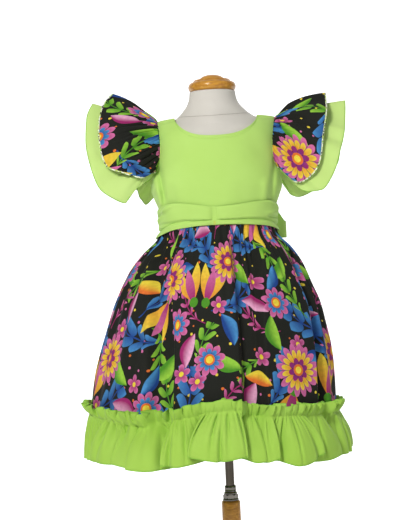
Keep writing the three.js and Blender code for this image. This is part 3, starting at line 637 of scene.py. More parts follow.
MAGENTA = srgb(158, 34, 104)
PINK = srgb(214, 112, 166)
PALE_PINK = srgb(230, 166, 200)
YELLOW = srgb(236, 212, 64)
ORANGE = srgb(224, 112, 44)
ROYAL = srgb(24, 66, 140)
SKY = srgb(72, 142, 200)
LEAF = srgb(76, 146, 34)
PALE_LEAF = srgb(150, 204, 64)
PURPLE = srgb(96, 48, 132)
INK = srgb(22, 24, 18)


class Print:
    """Motifs laid one over another on cloth whose repeat steps half a drop to each side."""

    def __init__(self, tree, place, ground):
        self.tree = tree
        self.colour = ground
        split = new_node(tree, "ShaderNodeSeparateXYZ", Vector=place)
        across = Field(tree, split.outputs[0]) * (1000 / REPEAT[0])
        drop = (Field(tree, split.outputs[1]) * (1000 / REPEAT[1])) - across * 0.5
        self.place = new_node(tree, "ShaderNodeCombineXYZ", X=across, Y=drop).outputs[0]

    def local(self, at, size, turn):
        """Places about a motif's middle, in units of its size, turned by degrees."""
        tree = self.tree
        across = at[0] / REPEAT[0]
        middle = (across, at[1] / REPEAT[1] - across / 2, 0)
        away = tree.nodes.new("ShaderNodeVectorMath")
        away.operation = "SUBTRACT"
        tree.links.new(self.place, away.inputs[0])
        away.inputs[1].default_value = middle
        near = tree.nodes.new("ShaderNodeVectorMath")
        near.operation = "WRAP"
        tree.links.new(away.outputs[0], near.inputs[0])
        near.inputs[1].default_value = (0.5, 0.5, 0.5)
        near.inputs[2].default_value = (-0.5, -0.5, -0.5)
        cos, sin = math.cos(math.radians(turn)) / size, math.sin(math.radians(turn)) / size
        wide, tall = REPEAT
        rows = (
            (cos * wide + sin * tall / 2, sin * tall, 0),
            (-sin * wide + cos * tall / 2, cos * tall, 0),
        )
        fields = []
        for row in rows:
            dot = tree.nodes.new("ShaderNodeVectorMath")
            dot.operation = "DOT_PRODUCT"
            tree.links.new(near.outputs[0], dot.inputs[0])
            dot.inputs[1].default_value = row
            fields.append(Field(tree, dot.outputs["Value"]))
        return fields

    def lay(self, mask, colour):
        self.colour = mixed(self.tree, mask, self.colour, colour)

    def between(self, factor, first, second):
        return mixed(self.tree, factor, first, second)


def polar(x, y):
    radius = x.times_plus(x, y * y).math("SQRT")
    return radius, y.math("ARCTAN2", x)


def lay_bloom(cloth, at, size, turn, rings, centre):
    """A round flower: rings of petals from the outside in, then its centre."""
    x, y = cloth.local(at, size, turn)
    radius, angle = polar(x, y)
    for reach, petals, tip, inner, outer in rings:
        petal = (angle * (petals / math.pi)).math("PINGPONG", 1.0)
        edge = (petal * petal).times_plus(-tip * reach, reach)
        shade = cloth.between(radius.math("DIVIDE", edge).math("POWER", 1.6), inner, outer)
        vein = petal.above(0.86)
        cloth.lay(radius.below(edge), cloth.between(vein * 0.55, shade, INK))
    for reach, colour in centre:
        cloth.lay(radius.below(reach), colour)


def lay_leaf(cloth, at, size, turn, width, bend, light, dark):
    """A pointed leaf with a lighter half and a fine rib. It lies along its own y, from -1 to 1."""
    x, y = cloth.local(at, size, turn)
    curved = (y * y).times_plus(-bend, x)
    edge = (y * y).times_plus(-width, width)
    shade = cloth.between(curved.math("DIVIDE", edge).times_plus(0.9, 0.5), dark, light)
    cloth.lay(curved.size().below(edge), shade)
    return curved, y, edge


def lay_spray(cloth, at, size, turn, width, bend, pairs, inner, outer, stem, fullness=0.85):
    """Paired leaflets on a curved stem. It lies along its own y, from -1 to 1."""
    x, y = cloth.local(at, size, turn)
    curved = (y * y).times_plus(-bend, x)
    away = curved.size()
    reach = (y.times_plus(0.5, 0.35) * y.times_plus(-0.62, 1.0)).math("MAXIMUM", 0.01) * width * 2.2
    share = away.math("DIVIDE", reach)
    row = y.times_plus(pairs / 2, share * -0.75).math("FRACT")
    across = row.times_plus(2, -1).size()
    belly = share.times_plus(2, -1)
    leaflet = (belly * belly).times_plus(-fullness, fullness)
    inside = across.below(leaflet) * y.size().below(0.97)
    cloth.lay(inside, cloth.between(share, inner, outer))
    cloth.lay(away.below(0.022) * y.size().below(1.0), stem)


def lay_tulip(cloth, at, size, turn, side_colours, middle_colours, foot):
    """A cup of three petals on a small green foot."""
    x, y = cloth.local(at, size, turn)
    mirrored = x.size()
    lean = y.times_plus(-0.42, mirrored - 0.28)
    along = y.times_plus(1.0, -0.08)
    edge = (along * along).times_plus(-0.36, 0.36)
    cloth.lay(lean.size().below(edge), cloth.between(y.times_plus(0.5, 0.5), *side_colours))
    middle = (y * y).times_plus(-0.3, 0.27)
    cloth.lay(mirrored.below(middle), cloth.between(y.times_plus(0.6, 0.4), *middle_colours))
    cup = y.times_plus(1.0, 0.86)
    cloth.lay((mirrored * mirrored).times_plus(1.0, cup * cup).below(0.06), foot)


def lay_dots(cloth, place):
    """Small dots scattered on the ground, in three colours."""
    cells = new_node(cloth.tree, "ShaderNodeTexVoronoi", Vector=place, Scale=38.0, Randomness=0.75)
    cells.voronoi_dimensions = "2D"
    away = Field(cloth.tree, cells.outputs["Distance"])
    pick = new_node(cloth.tree, "ShaderNodeSeparateColor", Color=cells.outputs["Color"])
    kind = Field(cloth.tree, pick.outputs[0])
    colour = cloth.between(kind.above(0.4), YELLOW, ORANGE)
    colour = cloth.between(kind.above(0.7), colour, PINK)
    size = Field(cloth.tree, pick.outputs[1]).times_plus(0.05, 0.06)
    cloth.lay(away.below(size), colour)


def print_group():
    """The node group that turns a place on the cloth, in metres, into the print's colour."""
    tree = bpy.data.node_groups.new("floral print", "ShaderNodeTree")
    tree.interface.new_socket("Place", in_out="INPUT", socket_type="NodeSocketVector")
    tree.interface.new_socket("Colour", in_out="OUTPUT", socket_type="NodeSocketColor")
    place = tree.nodes.new("NodeGroupInput").outputs[0]
    cloth = Print(tree, place, INK)
    lay_dots(cloth, place)

    for at, turn, bend, pairs in [
        ((26, 122), 28, 0.25, 4), ((96, 26), -62, -0.25, 4), ((186, 226), -30, -0.2, 4),
        ((262, 322), 66, 0.22, 4), ((156, 142), 76, 0.2, 4), ((296, 30), -10, -0.25, 4),
    ]:
        lay_spray(cloth, at, 60, turn, 0.5, bend, pairs, ROYAL, SKY, ROYAL, 0.96)
    for at, turn, bend in [
        ((240, 36), 20, 0.2), ((112, 252), 130, -0.3), ((16, 292), -20, 0.25), ((206, 124), -160, 0.2),
    ]:
        lay_spray(cloth, at, 44, turn, 0.46, bend, 4, LEAF, PALE_LEAF, LEAF, 0.75)
    for at, turn in [((288, 188), 35), ((64, 200), -40), ((150, 326), 60)]:
        lay_spray(cloth, at, 44, turn, 0.36, 0.3, 5, MAGENTA, PINK, MAGENTA, 0.5)

    for at, size, turn, bend, light, dark in [
        ((122, 84), 32, 35, 0.3, PALE_LEAF, LEAF), ((232, 88), 31, -48, -0.3, PALE_LEAF, LEAF),
        ((60, 254), 31, 62, 0.25, PALE_LEAF, LEAF), ((176, 312), 32, 10, 0.3, PALE_LEAF, LEAF),
        ((288, 118), 30, -15, 0.25, PALE_PINK, MAGENTA), ((150, 28), 31, -110, 0.25, PALE_PINK, MAGENTA),
        ((2, 176), 30, 100, -0.25, PALE_PINK, MAGENTA), ((116, 200), 31, -12, 0.25, PALE_PINK, MAGENTA),
        ((258, 268), 30, -70, 0.25, SKY, ROYAL), ((74, 318), 31, 20, -0.25, SKY, ROYAL),
        ((204, 70), 28, 150, 0.25, SKY, ROYAL), ((140, 236), 28, 75, -0.2, YELLOW, ORANGE),
    ]:
        lay_leaf(cloth, at, size, turn, 0.44, bend, light, dark)

    for at, turn in [((34, 58), -18), ((198, 182), 160), ((286, 232), 20)]:
        lay_tulip(cloth, at, 38, turn, (ORANGE, YELLOW), (MAGENTA, PINK), LEAF)
    for at in [(166, 66), (280, 78), (98, 158), (150, 272), (228, 292), (10, 230), (52, 20)]:
        lay_bloom(cloth, at, 17, 18, [(1.0, 5, 0.55, MAGENTA, PINK)], [(0.26, YELLOW)])
    for at, turn in [((196, 26), 0), ((32, 264), 10), ((262, 164), 5)]:
        lay_bloom(
            cloth, at, 29, turn,
            [(1.0, 9, 0.3, MAGENTA, PINK), (0.68, 9, 0.35, ROYAL, SKY)],
            [(0.34, ORANGE), (0.22, YELLOW)],
        )
    for at, turn in [((78, 106), 0), ((222, 248), 12)]:
        lay_bloom(
            cloth, at, 46, turn,
            [
                (1.0, 16, 0.28, MAGENTA, PINK),
                (0.76, 16, 0.3, ORANGE, YELLOW),
                (0.46, 8, 0.35, PURPLE, MAGENTA),
            ],
            [(0.22, ORANGE), (0.13, YELLOW)],
        )
    out = tree.nodes.new("NodeGroupOutput")
    tree.links.new(cloth.colour, out.inputs[0])
    return tree


# Materials


def new_material(name):
    material = bpy.data.materials.new(name)
    material.use_nodes = True
    tree = material.node_tree
    tree.nodes.clear()
    output = tree.nodes.new("ShaderNodeOutputMaterial")
    shader = tree.nodes.new("ShaderNodeBsdfPrincipled")
    tree.links.new(shader.outputs[0], output.inputs[0])
    return material, tree, shader, output


def weave_height(tree, place, pitch):
    """The height of a plain weave: threads of a given pitch, in millimetres, both ways."""
    split = new_node(tree, "ShaderNodeSeparateXYZ", Vector=place)
    rate = 1000 * math.pi / pitch
    warp = (Field(tree, split.outputs[0]) * rate).math("SINE").size()
    weft = (Field(tree, split.outputs[1]) * rate).math("SINE").size()
    return warp * weft


def set_values(node, **values):
    """Plain values for a node's named inputs."""
    for name, value in values.items():
        node.inputs[name.replace("_", " ")].default_value = value


def colour_shader(tree, shader, colour, **values):
    """The shader's base colour from a socket, and its other settings."""
    tree.links.new(colour, shader.inputs["Base Color"])
    set_values(shader, **values)


def add_bump(tree, shader, height, distance, strength, below=None):
    bump = new_node(tree, "ShaderNodeBump", Height=height, Distance=distance * MM, Strength=strength)
    if below is not None:
        tree.links.new(below.outputs[0], bump.inputs["Normal"])
    tree.links.new(bump.outputs[0], shader.inputs["Normal"])
    return bump


def object_noise(tree, scale, detail=3.0, kind="Object"):
    place = new_node(tree, "ShaderNodeTexCoord").outputs[kind]
    noise = new_node(tree, "ShaderNodeTexNoise", Vector=place, Scale=scale, Detail=detail)
    return Field(tree, noise.outputs["Fac"])


def let_light_through(tree, shader, output, colour, share):
    """Thin cloth: a share of the light comes through from behind."""
    through = tree.nodes.new("ShaderNodeBsdfTranslucent")
    tree.links.new(colour, through.inputs["Color"])
    both = tree.nodes.new("ShaderNodeMixShader")
    both.inputs[0].default_value = share
    tree.links.new(shader.outputs[0], both.inputs[1])
    tree.links.new(through.outputs[0], both.inputs[2])
    tree.links.new(both.outputs[0], output.inputs[0])


def poplin_material(name, base, dark, through):
    material, tree, shader, output = new_material(name)
    tone = object_noise(tree, 9.0)
    colour = mixed(tree, tone.times_plus(2.2, -0.6).math("MINIMUM", 1.0).math("MAXIMUM", 0.0), dark, base)
    colour_shader(
        tree, shader, colour,
        Roughness=0.72, Sheen_Weight=0.12, Sheen_Roughness=0.5, Specular_IOR_Level=0.25,
    )
    place = new_node(tree, "ShaderNodeTexCoord").outputs["UV"]
    weave = add_bump(tree, shader, weave_height(tree, place, 0.55), 0.12, 0.35)
    add_bump(tree, shader, object_noise(tree, 60.0, 4.0), 0.5, 0.35, weave)
    let_light_through(tree, shader, output, colour, through)
    return material


def print_material(name, group, shift):
    material, tree, shader, output = new_material(name)
    place = new_node(tree, "ShaderNodeTexCoord").outputs["UV"]
    moved = new_node(tree, "ShaderNodeMapping", Vector=place, Location=(*shift, 0.0))
    design = tree.nodes.new("ShaderNodeGroup")
    design.node_tree = group
    tree.links.new(moved.outputs[0], design.inputs[0])
    brush = new_node(tree, "ShaderNodeTexNoise", Vector=place, Scale=180.0, Detail=4.0)
    fade = Field(tree, brush.outputs["Fac"]).times_plus(0.5, -0.14)
    colour = mixed(tree, fade, design.outputs[0], INK)
    threads = weave_height(tree, place, 0.6)
    colour = mixed(tree, threads * 0.015, colour, (0.75, 0.75, 0.72))
    colour_shader(tree, shader, colour, Roughness=0.8, Sheen_Weight=0.03, Specular_IOR_Level=0.15)
    weave = add_bump(tree, shader, threads, 0.14, 0.4)
    add_bump(tree, shader, object_noise(tree, 55.0, 4.0), 0.5, 0.35, weave)
    let_light_through(tree, shader, output, colour, 0.06)
    return material


THREAD_TWIST = 5200


def thread_material(name, colours, pitch):
    """Sewing thread, or an edge oversewn in threads of several colours."""
    material, tree, shader, _ = new_material(name)
    place = new_node(tree, "ShaderNodeTexCoord").outputs["UV"]
    cells = new_node(tree, "ShaderNodeTexVoronoi", Vector=place, Scale=1000 / pitch)
    pick = new_node(tree, "ShaderNodeSeparateColor", Color=cells.outputs["Color"])
    kind = Field(tree, pick.outputs[0])
    colour = mixed(tree, kind.above(0.5), colours[0], colours[1 % len(colours)])
    for i, extra in enumerate(colours[2:], start=1):
        colour = mixed(tree, kind.above(0.4 + 0.2 * i), colour, extra)
    colour_shader(tree, shader, colour, Roughness=0.7, Sheen_Weight=0.2)
    split = new_node(tree, "ShaderNodeSeparateXYZ", Vector=place)
    twist = (Field(tree, split.outputs[0]) * THREAD_TWIST).math("SINE")
    add_bump(tree, shader, twist, 0.2, 0.5)
    return material


def jersey_material():
    material, tree, shader, _ = new_material("off-white jersey")
    tone = object_noise(tree, 22.0, 5.0)
    colour = mixed(tree, tone, srgb(192, 188, 180), srgb(209, 205, 197))
    colour_shader(tree, shader, colour, Roughness=0.92, Sheen_Weight=0.15, Specular_IOR_Level=0.2)
    place = new_node(tree, "ShaderNodeTexCoord").outputs["UV"]
    add_bump(tree, shader, weave_height(tree, place, 0.9), 0.2, 0.5)
    return material


def varnish_material():
    material, tree, shader, _ = new_material("varnished wood")
    place = new_node(tree, "ShaderNodeTexCoord").outputs["Object"]
    stretched = new_node(tree, "ShaderNodeMapping", Vector=place, Scale=(9.0, 38.0, 38.0))
    along = stretched.outputs[0]
    grain = new_node(tree, "ShaderNodeTexNoise", Vector=along, Scale=6.0, Detail=6.0, Distortion=0.6)
    tone = Field(tree, grain.outputs["Fac"])
    colour = mixed(tree, tone.times_plus(1.8, -0.4), srgb(148, 92, 24), srgb(212, 156, 58))
    colour_shader(
        tree, shader, colour,
        Roughness=0.34, Coat_Weight=0.4, Coat_Roughness=0.1, Specular_IOR_Level=0.25,
    )
    add_bump(tree, shader, tone, 0.1, 0.1)
    return material


def chrome_material(name, dark, light):
    material, tree, shader, _ = new_material(name)
    set_values(shader, Metallic=1.0)
    tone = object_noise(tree, 30.0)
    colour = mixed(tree, tone, dark, light)
    tree.links.new(colour, shader.inputs["Base Color"])
    place = new_node(tree, "ShaderNodeTexCoord").outputs["Object"]
    drawn = new_node(tree, "ShaderNodeMapping", Vector=place, Scale=(400.0, 400.0, 6.0))
    scratches = new_node(tree, "ShaderNodeTexNoise", Vector=drawn.outputs[0], Scale=1.0, Detail=3.0)
    rough = Field(tree, scratches.outputs["Fac"]).times_plus(0.16, 0.06)
    tree.links.new(rough.socket, shader.inputs["Roughness"])
    return material


def enamel_material():
    material, tree, shader, _ = new_material("zip enamel")
    tone = object_noise(tree, 300.0)
    colour = mixed(tree, tone, srgb(150, 196, 84), srgb(178, 220, 108))
    colour_shader(tree, shader, colour, Roughness=0.35, Metallic=0.1)
    add_bump(tree, shader, object_noise(tree, 900.0), 0.05, 0.3)
    return material


LIME_LIGHT = srgb(184, 222, 118)
LIME_DARK = srgb(176, 215, 106)
LIME_EDGE = srgb(146, 204, 72)

design = print_group()
poplin = poplin_material("lime poplin", LIME_LIGHT, LIME_DARK, 0.08)
# Painted light: the sleeves' lime is a lighter copy of the same poplin, standing in for light shining
# through the single layer.
sleeve_poplin_painted_light = poplin_material("lime poplin, painted lighter", srgb(212, 238, 150), srgb(205, 233, 138), 0.24)
# Painted shade: the flounce's lime is a darker copy of the same poplin, standing in for the shade among its
# folds.
flounce_poplin_painted_shade = poplin_material("lime poplin, painted shade", srgb(168, 209, 88), srgb(156, 199, 72), 0.1)
hem_poplin = poplin_material("lime rolled hem", LIME_EDGE, srgb(132, 190, 60), 0.05)
skirt_print = print_material("floral print, skirt", design, (0.0, 0.0))
sleeve_print = print_material("floral print, sleeve", design, (0.11, 0.07))
lime_thread = thread_material("lime thread", [srgb(160, 206, 84), srgb(176, 218, 100)], 1.0)
seam_thread = thread_material("grey thread", [srgb(150, 142, 134), srgb(172, 166, 158)], 1.0)
tack_thread = thread_material("yellow thread", [srgb(222, 214, 60), srgb(200, 200, 70)], 1.0)
overlock = thread_material(
    "oversewn edge", [srgb(232, 238, 214), srgb(150, 200, 70), srgb(30, 32, 26), srgb(196, 218, 110)], 2.6
)
jersey = jersey_material()
varnish = varnish_material()
chrome = chrome_material("chrome", srgb(108, 104, 96), srgb(138, 134, 126))
# Painted reflection: the pole's chrome is a darker copy, standing in for the dark underside of the skirt
# that it reflects.
pole_chrome_painted_dark = chrome_material("chrome, painted dark reflection", srgb(72, 66, 58), srgb(104, 98, 88))
enamel = enamel_material()


# Bookkeeping for pieces


def place_piece(piece, body, replaces=()):
    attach(piece, body)
    for node in replaces:
        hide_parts(node)
    return piece


# Bodice

ARMHOLE_SHARE = 0.3
STRAP_SHARE = 0.08
SEAM_FADE = 0.05
BODICE_ROWS = 64
BODICE_CLOTH = 0.9

# The faced edge along a panel's top: where its band starts and ends up the panel, how far it
# stands, and the groove under it.

FACED_EDGE = {"low": 0.91, "high": 0.925, "stand": 0.9, "groove": 0.905, "wide": 0.012, "deep": 0.7}
STITCH_LEVEL = 0.89
STITCH_STAND = 0.08

BODICE_FOLDS = [
    {"start": (-101, 938), "end": (-92, 872), "wide": 4.6, "rise": -5.0},
    {"start": (-112, 925), "end": (-99, 862), "wide": 5.0, "rise": 4.0},
    {"start": (-84, 900), "end": (-78, 860), "wide": 9.0, "rise": -2.6},
    {"start": (103, 930), "end": (94, 868), "wide": 5.4, "rise": -4.0},
    {"start": (88, 905), "end": (82, 862), "wide": 8.0, "rise": 3.2},
    {"start": (60, 985), "end": (84, 940), "wide": 14.0, "rise": -1.6},
    {"start": (-56, 985), "end": (-76, 945), "wide": 14.0, "rise": -1.6},
    {"start": (20, 905), "end": (26, 862), "wide": 16.0, "rise": 1.8},
    {"start": (-34, 900), "end": (-30, 862), "wide": 15.0, "rise": -1.6},
]


def bodice_top(share, facing):
    """The edge along a panel's top: x, z, and how plainly it is followed, from underarm to underarm."""
    side = np.where(share < 0.5, -1.0, 1.0)
    from_side = np.minimum(share, 1 - share)
    up = np.clip(from_side / ARMHOLE_SHARE, 0, 1)
    hole = np.where(
        side[..., None] < 0,
        armhole_point(-1, up / 2 if facing > 0 else 1 - up / 2),
        armhole_point(1, up / 2 if facing > 0 else 1 - up / 2),
    )
    along = np.clip((from_side - ARMHOLE_SHARE) / STRAP_SHARE, 0, 1)
    strap_z = lerp(SHOULDER_POINT_Z, NECK_POINT_Z, along)
    strap = bodice_section(strap_z)
    strap_x = side * np.where(side > 0, strap["right"], strap["left"])
    neck_share = 0.5 - ARMHOLE_SHARE - STRAP_SHARE
    position = np.clip((share - 0.5) / neck_share, -1, 1)
    neck = bodice_section(NECK_POINT_Z)
    neck_x = position * np.where(position > 0, neck["right"], neck["left"])
    drop = FRONT_NECK_DROP if facing > 0 else BACK_NECK_DROP
    neck_z = NECK_POINT_Z - drop * (1 - np.abs(position) ** 2.6) ** 0.6
    in_hole = from_side <= ARMHOLE_SHARE
    in_strap = from_side <= ARMHOLE_SHARE + STRAP_SHARE
    x = np.where(in_hole, hole[..., 0], np.where(in_strap, strap_x, neck_x))
    z = np.where(in_hole, hole[..., 2], np.where(in_strap, strap_z, neck_z))
    return x, z, np.where(in_hole, up, 1.0)


def bodice_point(share, up, facing, out=0.0):
    top_x, top_z, plain = bodice_top(share, facing)
    low_z = np.full_like(share, WAIST_Z + GAP)
    low = section_point(bodice_section, 180 * (share - 0.5), low_z)
    rise = 1 - (1 - up) ** 1.5
    z = lerp(low_z, top_z, rise)

    def width_at(x, height):
        s = bodice_section(height)
        return np.where(x > 0, s["right"], s["left"])

    by_ratio = lerp(low[..., 0] / width_at(low[..., 0], low_z), top_x / width_at(top_x, top_z), rise)
    by_line = lerp(low[..., 0], top_x, rise)
    mix = smoothstep(plain, 0.1, 0.8)
    x = lerp(by_ratio * width_at(top_x, z), by_line, mix)
    from_seam = smoothstep(1 - np.abs(x) / width_at(x, z), 0, SEAM_FADE)
    folds = crease_depth(x, z, BODICE_FOLDS) * from_seam * smoothstep(1 - up, 0, 0.1)
    point = section_point_at(bodice_section, x, z, facing, out + folds)
    point[..., 1] -= facing * GAP / 2
    return point


def add_bodice():
    panels = [
        ("front_panel", "bodice_front", 1, 0.0, 1.0, 180, (0.29, 0.21)),
        ("back_panel_left", "bodice_back_left", -1, 0.4975, 0.0, 90, (0.15, 0.215)),
        ("back_panel_right", "bodice_back_right", -1, 1.0, 0.5025, 90, (0.15, 0.215)),
    ]
    for name, node, facing, start, stop, columns, flat in panels:
        u, v = grid(columns, BODICE_ROWS)
        share = lerp(start, stop, u)
        points = bodice_point(share, v, facing)
        groove = np.exp(-(((v - FACED_EDGE["groove"]) / FACED_EDGE["wide"]) ** 2))
        band = smoothstep(v, FACED_EDGE["low"], FACED_EDGE["high"])
        edge = band * FACED_EDGE["stand"] - FACED_EDGE["deep"] * groove
        points += surface_normals(points) * edge[..., None]
        keep_to_half(points, facing)
        if facing < 0:
            keep = GAP / 2
            x = points[..., 0]
            points[..., 0] = np.minimum(x, -keep) if name.endswith("left") else np.maximum(x, keep)
        uv = np.stack([points[..., 0], points[..., 2]], axis=-1)
        piece = cloth_piece(name, points, uv, poplin, BODICE_CLOTH)
        place_piece(piece, "form", [node])
        row = int(STITCH_LEVEL * BODICE_ROWS)
        line = points[:, row] + surface_normals(points)[:, row] * (BODICE_CLOTH / 2 + STITCH_STAND)
        sewn = joined(f"{name}_stitching", stitches(line), lime_thread)
        place_piece(sewn, "form")


ZIP_CHAIN = {"low": 830.0, "high": 990.0, "pitch": 1.7, "half": 1.6, "radius": 0.5, "under": 1.15}


def add_zip_chain():
    """The closed zip's teeth, just under the edges of the two back panels."""
    teeth = []
    for z in np.arange(ZIP_CHAIN["low"], ZIP_CHAIN["high"], ZIP_CHAIN["pitch"]):
        y = float(bodice_section(z)["back"]) - ZIP_CHAIN["under"]
        across = np.array([(x, y, z) for x in (-ZIP_CHAIN["half"], 0, ZIP_CHAIN["half"])])
        teeth.append(tube(across, ZIP_CHAIN["radius"], spacing=ZIP_CHAIN["half"]))
    place_piece(joined("zip_teeth", teeth, enamel), "form")


# Sleeves

SLEEVE_PRINT_START = {"left": (0.0, 0.0), "right": (190.0, 150.0)}
LAYER_STEP = 5.0
SEAM_STAND = 1.5
SLEEVE_GRID = (220, 40)
SLEEVE_SEED = 11
SLEEVE_EDGE_RADIUS = {"print": 1.4, "lime": 0.75}
SLEEVE_FOLDS = {"fine": 1.2, "gather": 7.0, "gather_width": 0.42, "broad": 3.8}


def sleeve_point(side, layer, u, v):
    along = lerp(SLEEVE_START, 1 - SLEEVE_START, u)
    edge = armhole_point(side, along)
    raised = armhole_point(side, along, SEAM_STAND)
    foot = (armhole_point(side, SLEEVE_START) + armhole_point(side, 1 - SLEEVE_START)) / 2
    foot[2] += 16
    inward = foot - edge
    inward /= np.linalg.norm(inward, axis=-1, keepdims=True)
    seam = raised + inward * (LAYER_STEP if layer == "lime" else 0)
    rim = RIMS["right" if side > 0 else "left"](u)
    free = np.stack([side * rim[f"{layer}Out"], -rim[f"{layer}Fore"], rim[f"{layer}Up"]], axis=-1)
    following = armhole_point(side, along + 0.01) - armhole_point(side, along - 0.01)
    across = free - seam
    lift = np.cross(across, following)
    lift /= np.linalg.norm(lift, axis=-1, keepdims=True)
    lift *= np.linalg.norm(across, axis=-1, keepdims=True) * SLEEVE_LIFT[layer] * side
    middle = (seam + free) / 2 + 2 * lift
    w = v[..., None]
    return seam * (1 - w) ** 2 + middle * 2 * w * (1 - w) + free * w ** 2


def add_sleeves():
    for side, word in ((-1, "left"), (1, "right")):
        for layer, cloth in (("print", sleeve_print), ("lime", sleeve_poplin_painted_light)):
            add_sleeve(side, word, layer, cloth)


def add_sleeve(side, word, layer, cloth):
    u, v = grid(*SLEEVE_GRID)
    points = sleeve_point(side, layer, u, v)
    seed = SLEEVE_SEED + side
    near_seam = smoothstep(v, 0.02, 0.14) * (1 - smoothstep(v, 0.2, 0.85))
    turn = u * 360
    fine = ripples(turn, 30, 46, seed) * SLEEVE_FOLDS["fine"] * (1 - smoothstep(v, 0.15, 0.6))
    deep = grooves(turn, 12, 22, seed + 20, SLEEVE_FOLDS["gather_width"])
    gathers = fine + deep * SLEEVE_FOLDS["gather"] * near_seam
    broad = ripples(turn, 7, 12, seed + 40) * SLEEVE_FOLDS["broad"]
    folds = broad * smoothstep(v, 0.05, 0.4) * (1 - 0.5 * v)
    ends = smoothstep(u, 0, 0.05) * smoothstep(1 - u, 0, 0.05)
    start = smoothstep(v, 0, 0.06) * 0.75 + 0.25
    points -= side * surface_normals(points) * ((gathers + folds) * ends * start)[..., None]
    uv = cloth_uv(points, SLEEVE_PRINT_START[word])
    name = f"sleeve_{word}_{'upper' if layer == 'print' else 'under'}"
    node = f"sleeve_{word}_{layer}"
    piece = place_piece(cloth_piece(name, points, uv, cloth), "form", [node])
    rim = np.concatenate([points[0, :-1], points[:, -1], points[-1, -2::-1]])
    thread = overlock if layer == "print" else hem_poplin
    edge = joined(f"{name}_edge", [tube(rim, SLEEVE_EDGE_RADIUS[layer])], thread)
    place_piece(edge, "form")


# Skirt


RECESS_SCALE = 1.25
SKIRT_GRID = (380, 72)
SKIRT_CROWDING = 1.3
SKIRT_PRINT_START = {"front": (0.0, 0.0), "back": (700.0, 0.0)}


def recess_depth(angle, up):
    depth = 0.0
    turned = np.maximum(up, 0) ** RECESS_TURN
    for fold in SKIRT_RECESSES:
        left = lerp(fold["left"][1], fold["left"][0], turned)
        right = lerp(fold["right"][1], fold["right"][0], turned)
        inside = smoothstep(angle, left, left + RECESS_EDGE)
        inside = inside * (1 - smoothstep(angle, right - RECESS_EDGE, right))
        depth = depth + fold["deep"] * inside
    return RECESS_SCALE * depth * smoothstep(1 - up, 0, 0.2)


gather_strength = table(["up", "fine", "middle", "broad"], [
    [0, 0.0, 0.2, 0.0],
    [0.06, 0.0, 0.8, 0.8],
    [0.3, 0.0, 1.4, 2.0],
    [0.6, 0.25, 1.8, 1.6],
    [0.8, 1.1, 1.7, 0.6],
    [0.92, 1.6, 0.8, 0.0],
    [0.97, 0.8, 0.2, 0.0],
    [1, 0.5, 0.0, 0.0],
])


def skirt_point(angle, z, out=0.0, ruffled=True):
    up = (z - SKIRT_LOW_Z) / (WAIST_Z - SKIRT_LOW_Z)
    stand = out - recess_depth(angle, up)
    if ruffled:
        strength = gather_strength(up)
        stand = stand + strength["fine"] * ripples(angle, 52, 70, 1)
        stand = stand + strength["middle"] * ripples(angle, 20, 30, 2)
        stand = stand + strength["broad"] * ripples(angle, 8, 13, 3)
    return section_point(skirt_section, angle, z, stand)


def add_skirt():
    for word, (facing, start) in HALVES.items():
        u, v = grid(*SKIRT_GRID)
        angle = half_turn(start, u)
        low = flounce_height(angle)["gather"] - SKIRT_ALLOWANCE
        points = skirt_point(angle, lerp(low, WAIST_Z, 1 - (1 - v) ** SKIRT_CROWDING))
        keep_to_half(points, facing)
        uv = cloth_uv(points, SKIRT_PRINT_START[word], level=4)
        piece = cloth_piece(f"skirt_panel_{word}", points, uv, skirt_print)
        place_piece(piece, "form", [f"skirt_{word}"])


# Flounce


def hem_rows():
    """The hem's path: for each angle at the gathering line, its hem angle, its stand and its rise."""
    stops = [[(side, side, SIDE_SEAM_STAND, 0)] for side in (-90, 90, 270)]
    bellies = dict(BELLIES_AT_SEAMS)
    for gather, hem, lap, faces, edge, rise, belly in FLOUNCE_TUCKS:
        front = (gather - faces * TUCK_HALF, hem, edge, rise)
        under = (gather + faces * TUCK_HALF, hem - faces * lap, UNDER_STAND, 0)
        stops.append(sorted([front, under]))
        bellies[stops[-1][0][0]] = belly
    stops.sort()
    rows = []
    for stop, following in zip(stops, stops[1:] + [None]):
        rows += stop
        if following is not None:
            gather = (stop[-1][0] + following[0][0]) / 2
            hem = (stop[-1][1] + following[0][1]) / 2
            rows.append((gather, hem, bellies[stop[0][0]], 0))
    return rows


hem_path = table(["angle", "hem", "stand", "rise"], hem_rows())


